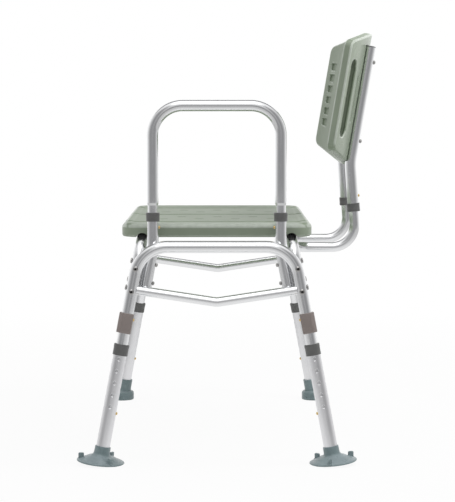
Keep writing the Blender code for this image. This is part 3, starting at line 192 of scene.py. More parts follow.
# Clips and fasteners
CLIP_MIDDLE_HEIGHT = 0.2940
CLIP_HEIGHT = 0.0425
CLIP_OUTER_REACH = 0.0165
CLIP_INNER_REACH = 0.0138
CLIP_HALF_DEPTH = 0.0155
CLIP_CHAMFER = 0.0075
CLIP_EDGE = 0.0015
CLIP_BUTTON_HEIGHT = 0.3030
BOLT_DIAMETER = 0.0050
BOLT_HEAD_DIAMETER = 0.0118
BOLT_HEAD_HEIGHT = 0.0026
RECESS_SPAN = 0.0034
RECESS_SLOT = 0.0026
RECESS_DEPTH = 0.0026
NUT_WIDTH = 0.0092
NUT_HEIGHT = 0.0042
BOLT_TAIL = 0.0015
LEG_BOLT_HEIGHTS = (0.4068, 0.3591)
RECEIVER_BOLT_HEIGHTS = (0.4200, 0.3815)
SADDLE_X = 0.062
SADDLE_SCREW_BITE = 0.014
SADDLE_EDGE = 0.0010
CONTACT = 0.0003

# Camera, as fitted to the photograph, from the seat's middle on the floor
CAMERA_PLACE = Vector((4.0207, 0.0120, 0.7533))
CAMERA_PITCH = math.radians(4.837)
CAMERA_YAW = math.radians(0.164)
CAMERA_LENS = 125.43
SENSOR = 36.0

# Painted highlights along small edges, and the waves of the mouldings
EDGE_BEND = (math.radians(9), math.radians(40))
EDGE_FACE_AREA = 0.00006
EDGE_HIGHLIGHT = 0.75
MOULD_WAVE = 0.0001

# Light
FILL_LIGHT = 0.53
LAMP_TARGET = (0.0, 0.0, 0.45)
DIM_SIDE = (-0.70, 0.64)
DIM_TOP = (0.60, 0.90)
DIM_COLOUR = (0.28, 0.28, 0.285)
SOFTBOX_SIDES = (0.15, 0.35)
SOFTBOX_RISE = (-0.02, 0.55)
SOFTBOX_CORE = (0.64, 0.74)
SOFTBOX_FRONT = (0.05, 0.25)
SOFTBOX_GAIN = 1.5
DARK_SIDE = (-0.40, -0.15)
DARK_BOTTOM = (0.45, 0.65)
DARK_TOP = (0.90, 0.97)
DARK_COLOUR = (0.20, 0.20, 0.205)
FLOOR_RADIUS = 3.0
FLOOR_IN_GLOSS = (0.83, 0.56)
FLOOR_IN_GLOSS_REACH = (0.5, 1.3)
FLOOR_GLOW_NEAR = 0.93
FLOOR_GLOW_START = 0.8
FLOOR_GLOW_END = 2.4

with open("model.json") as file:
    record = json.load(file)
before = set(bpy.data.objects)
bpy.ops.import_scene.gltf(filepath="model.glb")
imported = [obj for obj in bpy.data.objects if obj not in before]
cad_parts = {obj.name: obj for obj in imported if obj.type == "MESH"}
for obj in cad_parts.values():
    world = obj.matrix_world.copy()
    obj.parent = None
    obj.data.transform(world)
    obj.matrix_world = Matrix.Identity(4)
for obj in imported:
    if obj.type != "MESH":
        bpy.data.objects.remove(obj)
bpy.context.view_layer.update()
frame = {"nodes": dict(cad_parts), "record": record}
BODY_OF = {node: body for body, nodes in frame["record"]["behaviour"]["bodies"].items() for node in nodes}
SEAT_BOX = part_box("seat")
HOME = Vector(((SEAT_BOX[0].x + SEAT_BOX[1].x) / 2, (SEAT_BOX[0].y + SEAT_BOX[1].y) / 2, 0.0))

SEAT_FLOOR = SEAT_TOP - SEAT_DISH_DEPTH
SEAT_BOTTOM = SEAT_TOP - SEAT_THICKNESS
COLLAR_GROWTH = CONTACT / math.cos(math.pi / COLLAR_SIDES) + COLLAR_WALL
ARM_X = SEAT_LENGTH / 2 + ARM_SEAT_GAP + FRAME_TUBE / 2 + COLLAR_GROWTH
RAIL_OFFSET = FRAME_TUBE + CONTACT
LEG_STRETCH = math.sqrt(1 + LEG_LEAN_X ** 2 + LEG_LEAN_Y ** 2)
RECEIVER_BEND_HEIGHT = RAIL_HEIGHT - RECEIVER_BEND_DROP
LEG_FOOT_X = ARM_X + RAIL_OFFSET * math.sqrt(1 + LEG_LEAN_X ** 2) + LEG_LEAN_X * RECEIVER_BEND_HEIGHT
LEG_BUTTON_HEIGHT = FIRST_HOLE_HEIGHT - (HOLE_COUNT - 0.5) * HOLE_PITCH / LEG_STRETCH


# Places

def at(x, y, z):
    """The place that is x and y from the middle of the seat, and z above the floor."""
    return HOME + Vector((x, y, z))


def leg_point(end, side, height):
    return at(end * (LEG_FOOT_X - LEG_LEAN_X * height), side * (LEG_FOOT_Y - LEG_LEAN_Y * height), height)


def leg_up(end, side):
    return Vector((-end * LEG_LEAN_X, -side * LEG_LEAN_Y, 1.0)).normalized()


def frame_normal(end):
    return Vector((end, 0.0, LEG_LEAN_X)).normalized()


def leg_outward(end, side):
    across = frame_normal(end).cross(leg_up(end, side))
    return across if across.y * side > 0 else -across


def rail_point(end, side, height):
    offset = frame_normal(end) * RAIL_OFFSET
    return leg_point(end, side, height + offset.z) - offset


def receiver_point(side, height):
    offset = leg_outward(NEAR, side) * RAIL_OFFSET
    return rail_point(NEAR, side, height + offset.z) - offset


def stub_point(end, height):
    return at(end * BACK_SPACING / 2, BACK_STUB_Y - BACK_STUB_LEAN * (height - BACK_STUB_REFERENCE), height)


def upright_point(end, height):
    above = height - UPRIGHT_BEND_HEIGHT
    return stub_point(end, UPRIGHT_BEND_HEIGHT) + Vector((0.0, UPRIGHT_LEAN, 1.0)) * above


RAIL_Y = rail_point(NEAR, REAR, RAIL_HEIGHT).y - HOME.y
ARM_Y = receiver_point(REAR, RECEIVER_BEND_HEIGHT).y - HOME.y
UP = Vector((0.0, 0.0, 1.0))
STUB_UP = Vector((0.0, -BACK_STUB_LEAN, 1.0)).normalized()
STUB_BACK = Vector((0.0, 1.0, BACK_STUB_LEAN)).normalized()
UPRIGHT_UP = Vector((0.0, UPRIGHT_LEAN, 1.0)).normalized()
UPRIGHT_BACK = Vector((0.0, 1.0, -UPRIGHT_LEAN)).normalized()


def leg_button(end, side, height):
    """A button's place on its tube's axis, and the way that it points."""
    return leg_point(end, side, height), -leg_outward(end, side)


def arm_button(side):
    return at(ARM_X, side * ARM_Y, ARM_BUTTON_HEIGHT), Vector((0, -side, 0))


def back_button(end):
    return stub_point(end, BACK_BUTTON_HEIGHT), STUB_BACK


def panel_sag(x):
    return PANEL_RADIUS - math.sqrt(PANEL_RADIUS ** 2 - x ** 2)


PANEL_REAR = PANEL_SEAT_DEPTH - UPRIGHT_TUBE / 2 + panel_sag(BACK_SPACING / 2)
PANEL_ORIGIN = sum((upright_point(end, PANEL_MIDDLE_HEIGHT) for end in ENDS), Vector()) / 2


def panel_place(x, rise, ahead):
    """A point at x across the panel and rise up it, ahead of its rear face."""
    slope = math.asin(x / PANEL_RADIUS)
    out = UPRIGHT_BACK * math.cos(slope) + Vector((math.sin(slope), 0.0, 0.0))
    rear = PANEL_ORIGIN + Vector((x, 0, 0)) + UPRIGHT_UP * rise + UPRIGHT_BACK * (PANEL_REAR - panel_sag(x))
    return rear - out * ahead


# Meshes

def new_object(name, data):
    item = bpy.data.objects.new(name, data)
    bpy.context.scene.collection.objects.link(item)
    return item


def smooth(data, angle=35.0):
    data.shade_smooth()
    data.set_sharp_from_angle(angle=math.radians(angle))


def solid(name, shape, angle=35.0):
    """Makes an object of a bmesh, smooth but for the edges that bend by more than the angle."""
    bmesh.ops.recalc_face_normals(shape, faces=shape.faces)
    data = bpy.data.meshes.new(name)
    shape.to_mesh(data)
    shape.free()
    smooth(data, angle)
    return new_object(name, data)


def applied(item):
    """Makes an object's evaluated shape its own mesh. A curve becomes a new object of the same name."""
    bpy.context.view_layer.update()
    data = bpy.data.meshes.new_from_object(item.evaluated_get(bpy.context.evaluated_depsgraph_get()))
    if item.type != "MESH":
        name = item.name
        bpy.data.objects.remove(item)
        return new_object(name, data)
    item.modifiers.clear()
    item.data = data
    return item


def modified(item, kind, **values):
    step = item.modifiers.new(kind.lower(), kind)
    for key, value in values.items():
        setattr(step, key, value)
    return item


def bevelled(item, width, segments):
    return modified(item, "BEVEL", width=width, segments=segments, limit_method="ANGLE")


def cut(item, cutter):
    item = applied(modified(item, "BOOLEAN", operation="DIFFERENCE", solver="EXACT", object=cutter))
    bpy.data.objects.remove(cutter)
    smooth(item.data)
    return item


def axes_matrix(origin, x_axis, z_axis):
    z = Vector(z_axis).normalized()
    x = Vector(x_axis)
    x = (x - z * x.dot(z)).normalized()
    matrix = Matrix((x, z.cross(x), z)).transposed().to_4x4()
    matrix.translation = origin
    return matrix


def inside(matrix):
    """The place of a local x, y and z."""
    return lambda x, y, z: matrix @ Vector((x, y, z))


def filleted(corners, radius):
    """The points of a path through the corners, each inner corner rounded as an arc."""
    points = [Vector(corners[0])]
    for before, corner, after in zip(corners, corners[1:], corners[2:]):
        to_before = (before - corner).normalized()
        to_after = (after - corner).normalized()
        half = to_before.angle(to_after) / 2
        centre = corner + (to_before + to_after).normalized() * radius / math.sin(half)
        start = corner + to_before * radius / math.tan(half)
        normal = to_before.cross(to_after).normalized()
        sweep = 2 * half - math.pi
        for step in range(BEND_STEPS + 1):
            points.append(centre + Matrix.Rotation(sweep * step / BEND_STEPS, 3, normal) @ (start - centre))
    points.append(Vector(corners[-1]))
    return points


def tube(node_name, points, diameter, wall=0.0, radii=None):
    """A smooth round tube along the points, solid to look at unless it has a wall."""
    data = bpy.data.curves.new(node_name, "CURVE")
    data.dimensions = "3D"
    data.twist_mode = "MINIMUM"
    data.bevel_depth = diameter / 2
    data.bevel_resolution = TUBE_RESOLUTION
    data.use_fill_caps = wall == 0.0
    spline = data.splines.new("POLY")
    spline.points.add(len(points) - 1)
    for point, place, radius in zip(spline.points, points, radii or [1.0] * len(points)):
        point.co = (*place, 1.0)
        point.radius = radius
    item = applied(new_object(f"{node_name}_tube", data))
    if wall:
        item = applied(modified(item, "SOLIDIFY", thickness=wall, offset=-1.0))
    smooth(item.data)
    return item


def bridge(shape, rings):
    """Joins rings of vertices with faces. A ring of one vertex is a pole."""
    for first, second in zip(rings, rings[1:]):
        count = max(len(first), len(second))
        for step in range(count):
            after = (step + 1) % count
            if len(first) == 1:
                shape.faces.new((first[0], second[step], second[after]))
            elif len(second) == 1:
                shape.faces.new((first[step], second[0], first[after]))
            else:
                shape.faces.new((first[step], second[step], second[after], first[after]))


def circle(shape, matrix, radius, height, sides):
    """A ring of vertices about the matrix's Z, or one vertex where the radius is nothing."""
    if radius == 0.0:
        return [shape.verts.new(matrix @ Vector((0, 0, height)))]
    angles = [2 * math.pi * step / sides for step in range(sides)]
    places = [Vector((radius * math.cos(a), radius * math.sin(a), height)) for a in angles]
    return [shape.verts.new(matrix @ place) for place in places]


def lathe(shape, profile, matrix, sides):
    """Adds a solid of revolution about the matrix's Z to a bmesh, from (radius, height) points."""
    rings = [circle(shape, matrix, radius, height, sides) for radius, height in profile]
    bridge(shape, rings)
    return rings


def turned(name, profile, matrix, sides, closed=False):
    shape = bmesh.new()
    rings = lathe(shape, profile, matrix, sides)
    if closed:
        bridge(shape, [rings[-1], rings[0]])
    return solid(name, shape)


def arc(centre, radius, start, end, steps):
    """Points along an arc, between two angles in degrees."""
    angles = [math.radians(start + (end - start) * step / steps) for step in range(steps + 1)]
    return [(centre[0] + radius * math.cos(a), centre[1] + radius * math.sin(a)) for a in angles]


def capsule(length, width, steps=10):
    radius, shift = width / 2, (length - width) / 2
    return arc((shift, 0), radius, -90, 90, steps) + arc((-shift, 0), radius, 90, 270, steps)


def rounded_rectangle(length, width, radius, steps):
    points = []
    for quadrant, (sx, sy) in enumerate(((1, 1), (-1, 1), (-1, -1), (1, -1))):
        centre = (sx * (length / 2 - radius), sy * (width / 2 - radius))
        points += arc(centre, radius, 90 * quadrant, 90 * quadrant + 90, steps)
    return points


def eased(share):
    return share * share * (3 - 2 * share)


def outward_normals(loop):
    """The outward unit normal at each point of a closed anticlockwise loop."""
    normals = []
    for index, here in enumerate(loop):
        before, after = Vector(loop[index - 1]), Vector(loop[(index + 1) % len(loop)])
        way = (Vector(here) - before).normalized() + (after - Vector(here)).normalized()
        normals.append(Vector((way.y, -way.x)).normalized())
    return normals


def grown(shape, loop, profile, place, relief=None):
    """Rings of vertices, from the loop grown outward by each (growth, height) of the profile.

    The relief lowers the rings whose profile has a third number, by that share of it.
    """
    rings = []
    pairs = list(zip(loop, outward_normals(loop)))
    for growth, height, *share in profile:
        ring = []
        for (x, y), n in pairs:
            px, py = x + n.x * growth, y + n.y * growth
            lower = relief(px, py) * share[0] if share else 0.0
            ring.append(shape.verts.new(place(px, py, height - lower)))
        rings.append(ring)
    return rings


def ringed(shape, loop, profile, place):
    """Adds a closed solid of the rings grown from the loop."""
    rings = grown(shape, loop, profile, place)
    bridge(shape, rings)
    shape.faces.new(rings[0])
    shape.faces.new(rings[-1])


def border(grid):
    """The items round a grid of columns, anticlockwise from its first."""
    low = [column[0] for column in grid]
    high = [column[-1] for column in reversed(grid)]
    return low[:-1] + grid[-1][:-1] + high[:-1] + grid[0][:0:-1]


def slab(name, columns, shares, span, top, profile, bottom, place, relief=None):
    """A moulded slab: a core of columns, each over its span, grown outward and down by the profile."""
    shape = bmesh.new()
    cores = []
    for x in columns:
        low, high = span(x)
        cores.append([(x, low + (high - low) * share) for share in shares])
    sheets = []
    for height in (top, bottom):
        sheet = [[shape.verts.new(place(x, y, height(x, y))) for x, y in core] for core in cores]
        sheets.append(sheet)
        for left, right in zip(sheet, sheet[1:]):
            for row in range(len(shares) - 1):
                shape.faces.new((left[row], right[row], right[row + 1], left[row + 1]))
    rings = grown(shape, border(cores), profile, place, relief)
    bridge(shape, [border(sheets[0]), *rings, border(sheets[1])])
    return solid(name, shape)


# Finishes

def fill(tree, made, inputs):
    """Gives a node's inputs their values, or links them to the outputs given."""
    for key, value in inputs.items():
        if isinstance(value, bpy.types.NodeSocket):
            tree.links.new(value, made.inputs[key])
        else:
            made.inputs[key].default_value = value


def node(tree, kind, inputs=None, **values):
    made = tree.nodes.new(kind)
    for key, value in values.items():
        setattr(made, key, value)
    fill(tree, made, inputs or {})
    return made


def noise(tree, vector, scale, detail=2.0, roughness=0.5):
    return node(tree, "ShaderNodeTexNoise", {"Scale": scale, "Detail": detail, "Roughness": roughness,
                                             "Vector": vector}).outputs["Fac"]


def between(tree, value, low, high, source=(0.3, 0.7)):
    """Maps a value from the source range to low to high."""
    return node(tree, "ShaderNodeMapRange", {"From Min": source[0], "From Max": source[1], "To Min": low,
                                             "To Max": high, "Value": value}).outputs["Result"]


def blended(tree, factor, first, second):
    """Goes from a first colour to a second, of which each may be another node's output."""
    colours = [(*colour, 1.0) if isinstance(colour, tuple) else colour for colour in (first, second)]
    return node(tree, "ShaderNodeMix", {"A": colours[0], "B": colours[1], "Factor": factor},
                data_type="RGBA").outputs["Result"]


def worked(tree, operation, *values):
    return node(tree, "ShaderNodeMath", dict(enumerate(values)), operation=operation).outputs[0]


def product(tree, first, second):
    return worked(tree, "MULTIPLY", first, second)


def bumps(tree, layers):
    """The normal of chained bump nodes, each from a (height, strength, distance) layer."""
    inputs = {}
    for height, strength, distance in layers:
        inputs.update(Strength=strength, Distance=distance, Height=height)
        inputs["Normal"] = node(tree, "ShaderNodeBump", inputs).outputs["Normal"]
    return inputs["Normal"]


def coordinates(tree, output="Object", scale=(1.0, 1.0, 1.0)):
    source = node(tree, "ShaderNodeTexCoord").outputs[output]
    return node(tree, "ShaderNodeMapping", {"Scale": scale, "Vector": source}).outputs["Vector"]


def facing_up(tree):
    normal = node(tree, "ShaderNodeNewGeometry").outputs["Normal"]
    return node(tree, "ShaderNodeSeparateXYZ", {0: normal}).outputs["Z"]


def finish(name, **inputs):
    made = bpy.data.materials.new(name)
    made.use_nodes = True
    tree = made.node_tree
    shader = tree.nodes["Principled BSDF"]
    fill(tree, shader, {key.replace("_", " "): value for key, value in inputs.items()})
    return made, tree, shader


def plastic(name, light, dark, roughness, grain_scale, grain_depth, matt=0.0, painted_highlight=None):
    """A moulded plastic with a faint mottle, a fine grain and the slow waves of a cooled moulding.

    Faces that look up are rougher by matt, and marked edges that don't look down get a paler colour, a painted
    highlight.
    """
    made, tree, shader = finish(name, Specular_IOR_Level=0.40)
    vector = coordinates(tree)
    mottle = noise(tree, vector, 9.0, 3.0)
    colour = blended(tree, between(tree, mottle, 0.0, 1.0), dark, light)
    # Painted highlight: marked edges turn paler, less so where they look down
    if painted_highlight:
        edges = node(tree, "ShaderNodeAttribute", attribute_name="painted_highlight").outputs["Fac"]
        uneven = between(tree, noise(tree, vector, 60.0), 0.7, 1.0)
        level = between(tree, facing_up(tree), 0.0, EDGE_HIGHLIGHT, (-0.45, -0.10))
        colour = blended(tree, product(tree, product(tree, edges, uneven), level), colour, painted_highlight)
    level = between(tree, noise(tree, vector, 14.0, 1.0), roughness - 0.02, roughness + 0.02)
    if matt:
        level = worked(tree, "ADD", between(tree, facing_up(tree), 0.0, matt, (0.92, 0.99)), level)
    waves = (noise(tree, vector, 16.0, 1.0), 0.35, MOULD_WAVE)
    grain = (noise(tree, vector, grain_scale), 0.5, grain_depth)
    fill(tree, shader, {"Base Color": colour, "Roughness": level, "Normal": bumps(tree, [waves, grain])})
    return made


def metal(name, colour, roughness, line_depth):
    """A drawn tube: lines along its length in roughness and bump, and a slow variation over them."""
    made, tree, shader = finish(name, Base_Color=(*colour, 1.0), Metallic=1.0)
    lines = noise(tree, coordinates(tree, "UV", (3.0, 160.0, 1.0)), 1.0, 3.0, 0.6)
    mixed = product(tree, lines, noise(tree, coordinates(tree), 30.0, 3.0))
    level = between(tree, mixed, roughness - 0.06, roughness + 0.06, (0.1, 0.4))
    fill(tree, shader, {"Roughness": level, "Normal": bumps(tree, [(lines, 0.20, line_depth)])})
    return made


def small_metal(name, colour, roughness):
    made, tree, shader = finish(name, Base_Color=(*colour, 1.0), Metallic=1.0)
    vector = coordinates(tree)
    level = between(tree, noise(tree, vector, 350.0, 3.0), roughness - 0.08, roughness + 0.10)
    grain = (noise(tree, vector, 900.0), 0.15, 0.0001)
    fill(tree, shader, {"Roughness": level, "Normal": bumps(tree, [grain])})
    return made


def rubber(name, light, dark, top_light_colour):
    """A bloomed rubber, with a paler colour painted on the faces that look up as painted top light."""
    made, tree, shader = finish(name, Specular_IOR_Level=0.45, Sheen_Weight=0.15, Sheen_Roughness=0.5)
    vector = coordinates(tree)
    colour = blended(tree, between(tree, noise(tree, vector, 45.0, 4.0), 0.0, 1.0), dark, light)
    # Painted light: faces that look up turn paler, as if lit from above
    painted_top_light_share = between(tree, facing_up(tree), 0.0, 0.75, (0.45, 0.95))
    fill(tree, shader, {"Base Color": blended(tree, painted_top_light_share, colour, top_light_colour),
                        "Roughness": between(tree, noise(tree, vector, 120.0), 0.26, 0.38),
                        "Normal": bumps(tree, [(noise(tree, vector, 1100.0), 0.35, 0.0001)])})
    return made


FINISH = {
    # The sage plastic's paler edge colour is a painted highlight
    "sage_plastic": plastic("sage_plastic", (0.312, 0.367, 0.281), (0.285, 0.336, 0.255), roughness=0.26,
                            grain_scale=1500.0, grain_depth=0.00003, matt=0.20, painted_highlight=(0.66, 0.71, 0.64)),
    "dark_grey_plastic": plastic("dark_grey_plastic", (0.150, 0.151, 0.148), (0.126, 0.127, 0.125),
                                 roughness=0.34, grain_scale=1800.0, grain_depth=0.00008),
    "taupe_plastic": plastic("taupe_plastic", (0.300, 0.256, 0.241), (0.262, 0.223, 0.210),
                             roughness=0.32, grain_scale=1400.0, grain_depth=0.00010),
    "blue_grey_rubber": rubber("blue_grey_rubber", (0.240, 0.312, 0.326), (0.178, 0.240, 0.252),
                               top_light_colour=(0.335, 0.405, 0.430)),
    "aluminium": metal("polished_aluminium", (0.91, 0.915, 0.925), roughness=0.17, line_depth=0.00003),
    "satin_aluminium": metal("satin_aluminium", (0.86, 0.86, 0.875), roughness=0.36, line_depth=0.00005),
    "brass": small_metal("brass", (0.83, 0.60, 0.27), roughness=0.26),
    # Painted shade for the screws' cross recesses
    "zinc_painted_recess_shade": small_metal("zinc_painted_recess_shade", (0.030, 0.029, 0.028), roughness=0.45),
    "zinc_steel": small_metal("zinc_steel", (0.46, 0.45, 0.44), roughness=0.20),
}


def dress(item, slot, *nodes, body=None, look=None):
    """Gives a piece its finish, and makes it ride on the body named or on that of the nodes it stands for."""
    item.data.materials.clear()
    item.data.materials.append(FINISH[look or slot])
    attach(item, body or BODY_OF[nodes[0]])
    if nodes:
        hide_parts(*nodes)


def paint_shade_faces(item, look, chosen):
    """Gives the faces that the test chooses a second, darker finish, as painted shade."""
    item.data.materials.append(FINISH[look])
    for face in item.data.polygons:
        if chosen(face):
            face.material_index = 1


def mark_highlight_edges(item, near):
    """Marks the points of small outward bends, where a paler colour is painted as a highlight."""
    shape = bmesh.new()
    shape.from_mesh(item.data)
    marks = []
    for vertex in shape.verts:
        small = all(face.calc_area() < EDGE_FACE_AREA for face in vertex.link_faces)
        bent = any(EDGE_BEND[0] < edge.calc_face_angle_signed(0.0) < EDGE_BEND[1] for edge in vertex.link_edges)
        marks.append(float(small and bent and near(vertex.co)))
    shape.free()
    item.data.attributes.new("painted_highlight", "FLOAT", "POINT").data.foreach_set("value", marks)


# Holes

def drilled(item, spans, diameter, sides=32, sink=0.0):
    """Drills a hole between each span's ends, widened by a cone over the sink before the far end."""
    shape = bmesh.new()
    radius, wide = diameter / 2, diameter / 2 + SINK_WIDTH
    for start, end in spans:
        way = end - start
        half = way.length / 2
        profile = [(0.0, -half), (radius, -half), (radius, half), (0.0, half)]
        if sink:
            profile[2:3] = [(radius, half - sink), (wide, half - sink + SINK_DEPTH), (wide, half)]
        helper = UP if abs(way.normalized().z) < 0.9 else (1, 0, 0)
        lathe(shape, profile, axes_matrix((start + end) / 2, helper, way), sides)
    return cut(item, solid("drill", shape))


def pocketed(item, inner_tube, places):
    """Makes the holes that buttons are pressed into, at each (axis place, direction)."""
    radius = inner_tube / 2
    return drilled(item, [(place + way * (radius - BUTTON_POCKET), place + way * (radius + CLEAR))
                          for place, way in places], BUTTON_DIAMETER + 2 * CONTACT)


# Pieces

def corner_steps(flat, radius, steps):
    return [flat + radius * math.sin(math.pi / 2 * step / steps) for step in range(1, steps + 1)]


def corner_reach(x, flat, radius):
    return math.sqrt(max(0.0, radius ** 2 - max(0.0, abs(x) - flat) ** 2))


def spaced(values, gap):
    """The sorted values, without any that comes closer than the gap to the one before."""
    kept = [values[0]]
    for value in values[1:]:
        if value - kept[-1] > gap:
            kept.append(value)
    return kept


def build_seat():
    inset = SEAT_DISH_INSET + SEAT_DISH_SLOPE
    half_length, half_depth = SEAT_LENGTH / 2 - inset, SEAT_DEPTH / 2 - inset
    radius = SEAT_CORNER_RADIUS - inset
    flat = half_length - radius
    grooves = [groove * SEAT_GROOVE_PITCH for groove in (-1, 0, 1)]
    columns = {sign * x for x in corner_steps(flat, radius, 12) for sign in (-1, 1)}
    columns |= {flat * (2 * step / 30 - 1) for step in range(31)}
    columns |= {groove + SEAT_GROOVE_WIDTH / 2 * step / 8 for groove in grooves for step in range(-8, 9)}
    columns = spaced(sorted(columns), gap=0.0004)

    def span(x):
        reach = half_depth - radius + corner_reach(x, flat, radius)
        return -reach, reach

    def relief(x, y):
        across = min(1.0, min(abs(x - groove) for groove in grooves) / (SEAT_GROOVE_WIDTH / 2))
        return SEAT_GROOVE_DEPTH * eased(min(1.0, (1.0 - across) / (1.0 - SEAT_GROOVE_FLAT)))

    def top(x, y):
        return SEAT_FLOOR - relief(x, y)

    steps = 8
    profile = []
    for step in range(1, steps + 1):
        share = step / steps
        height = SEAT_TOP - SEAT_DISH_DEPTH * (1 - eased(share))
        profile.append((SEAT_DISH_SLOPE * share, height, 1 - 0.4 * share))
    rim = arc((inset - SEAT_EDGE_RADIUS, SEAT_TOP - SEAT_EDGE_RADIUS), SEAT_EDGE_RADIUS, 90, 0, steps)
    profile += [(growth, height, 0.6 * (1 - step / steps)) for step, (growth, height) in enumerate(rim)]
    profile += arc((inset - SEAT_FOOT_RADIUS, SEAT_BOTTOM + SEAT_FOOT_RADIUS), SEAT_FOOT_RADIUS, 0, -90, 6)
    seat = slab("seat_shell", columns, [step / 36 for step in range(37)], span, top, profile,
                lambda x, y: SEAT_BOTTOM, at, relief)
    seat = cut(seat, seat_drains())
    channels = [[at(end * SEAT_LENGTH, side * RAIL_Y, RAIL_HEIGHT) for end in (FAR, NEAR)] for side in SIDES]
    seat = drilled(seat, channels, FRAME_TUBE + 4 * CONTACT, sides=64)
    # Painted highlight along the seat's rim
    mark_highlight_edges(seat, lambda place: max(abs(place.x - HOME.x) - SEAT_LENGTH / 2,
                                       abs(place.y - HOME.y) - SEAT_DEPTH / 2) > -SEAT_EDGE_RADIUS)
    dress(seat, "sage_plastic", "seat")
    # Painted shade: the faces inside the rail channels get the dark grey plastic
    reach = FRAME_TUBE / 2 + 2.5 * CONTACT
    places = [vertex.co - HOME for vertex in seat.data.vertices]
    painted_channel_shade = [math.hypot(abs(place.y) - RAIL_Y, place.z - RAIL_HEIGHT) < reach for place in places]
    paint_shade_faces(seat, "dark_grey_plastic", lambda face: all(painted_channel_shade[index] for index in face.vertices))


def seat_drains():
    shape = bmesh.new()
    floor = SEAT_FLOOR
    profile = [(0.0, SEAT_BOTTOM - CLEAR), (0.0, floor - 0.0042), (0.0006, floor - 0.0024),
               (0.0018, floor - 0.0008), (0.0028, floor), (0.0032, floor + CLEAR)]
    for field in (-1, 1):
        for row, rows in ((-1, (-1.0, 0.0, 1.0)), (1, (-1.5, -0.5, 0.5, 1.5))):
            x = field * SEAT_GROOVE_PITCH / 2 + row * DRAIN_ROW_STEP / 2
            for column in rows:
                y = column * DRAIN_COLUMN_STEP
                loop = [(x - b, y + a) for a, b in capsule(DRAIN_LENGTH, DRAIN_WIDTH, steps=8)]
                ringed(shape, loop, profile, at)
    return solid("seat_drains", shape)


def build_panel():
    half = PANEL_WIDTH / 2
    core = PANEL_CORE_INSET
    flat = half - PANEL_CORNER_RADIUS
    radius = PANEL_CORNER_RADIUS - core
    corner = corner_steps(flat, radius, 10)
    columns = [-x for x in reversed(corner)] + [flat * (2 * step / 48 - 1) for step in range(49)] + corner

    def span(x):
        share = (x / half) ** 2
        reach = (PANEL_CENTRE_HEIGHT - (PANEL_CENTRE_HEIGHT - PANEL_SIDE_HEIGHT) * share) / 2 - core
        rounding = radius - corner_reach(x, flat, radius)
        return rounding - reach, reach - rounding

    edge = core - PANEL_EDGE_RADIUS
    profile = arc((edge, PANEL_THICKNESS - PANEL_EDGE_RADIUS), PANEL_EDGE_RADIUS, 90, 0, 7)
    profile += arc((edge, PANEL_EDGE_RADIUS), PANEL_EDGE_RADIUS, 0, -90, 7)
    panel = slab("panel_shell", columns, [step / 24 for step in range(25)], span,
                 lambda x, y: PANEL_THICKNESS, profile, lambda x, y: 0.0, panel_place)
    panel = cut(panel, panel_relief())
    panel = drilled(panel, [(upright_point(end, UPRIGHT_BEND_HEIGHT - UPRIGHT_TUBE),
                             upright_point(end, UPRIGHT_TOP_HEIGHT + UPRIGHT_GAP)) for end in ENDS],
                    UPRIGHT_TUBE + 2 * UPRIGHT_GAP, sides=64)
    panel = drilled(panel, [(seat - way * (PANEL_BOLT_RECESS + CLEAR), seat + way * CONTACT)
                            for seat, way, _ in panel_bolt_places()], PANEL_RECESS_DIAMETER, sides=40)
    # Painted highlight along the panel's small edges
    mark_highlight_edges(panel, lambda place: True)
    dress(panel, "sage_plastic", "backrest_panel")


def panel_relief():
    """The hand slots and grooves behind the wings, and the windows in front of them."""
    shape = bmesh.new()
    half, front = PANEL_WIDTH / 2, PANEL_THICKNESS
    depth, hollow = GRIP_SLOT_DEPTH, GRIP_HOLLOW
    slot = [(hollow - 0.0030, depth), (hollow - 0.0008, depth - 0.0008), (hollow, depth - 0.0030),
            (hollow, 0.0065), (hollow - 0.0015, 0.0048), (0.0010, 0.0040), (0.0002, 0.0034), (0.0, 0.0026),
            (0.0004, 0.0012), (0.0014, 0.0003), (0.0024, 0.0), (0.0026, -CLEAR)]
    groove = [(-0.0025, SIDE_GROOVE_DEPTH), (-0.0010, SIDE_GROOVE_DEPTH - 0.0006), (0.0, 0.0010),
              (0.0012, 0.0001), (0.0016, -CLEAR)]
    floor = front - GRIP_WINDOW_DEPTH
    window = [(-0.0020, floor), (-0.0006, floor + 0.0005), (0.0, floor + 0.0020), (0.0, front - 0.0016),
              (0.0005, front - 0.0006), (0.0016, front), (0.0020, front + CLEAR)]
    opening = rounded_rectangle(GRIP_WINDOW_WIDTH, GRIP_WINDOW_HEIGHT, GRIP_WINDOW_CORNER, steps=6)
    for side in (-1, 1):
        for (inset, length, width), profile in ((GRIP_SLOT, slot), (SIDE_GROOVE, groove)):
            loop = [(side * (half - inset) - b, a - GRIP_SLOT_DROP) for a, b in capsule(length, width)]
            ringed(shape, loop, profile, panel_place)
        for step in range(GRIP_WINDOW_COUNT):
            rise = GRIP_WINDOW_RISE + (step - (GRIP_WINDOW_COUNT - 1) / 2) * GRIP_WINDOW_PITCH
            loop = [(side * (half - GRIP_WINDOW_FROM_EDGE) + a, rise + b) for a, b in opening]
            ringed(shape, loop, window, panel_place)
    return solid("panel_relief", shape)


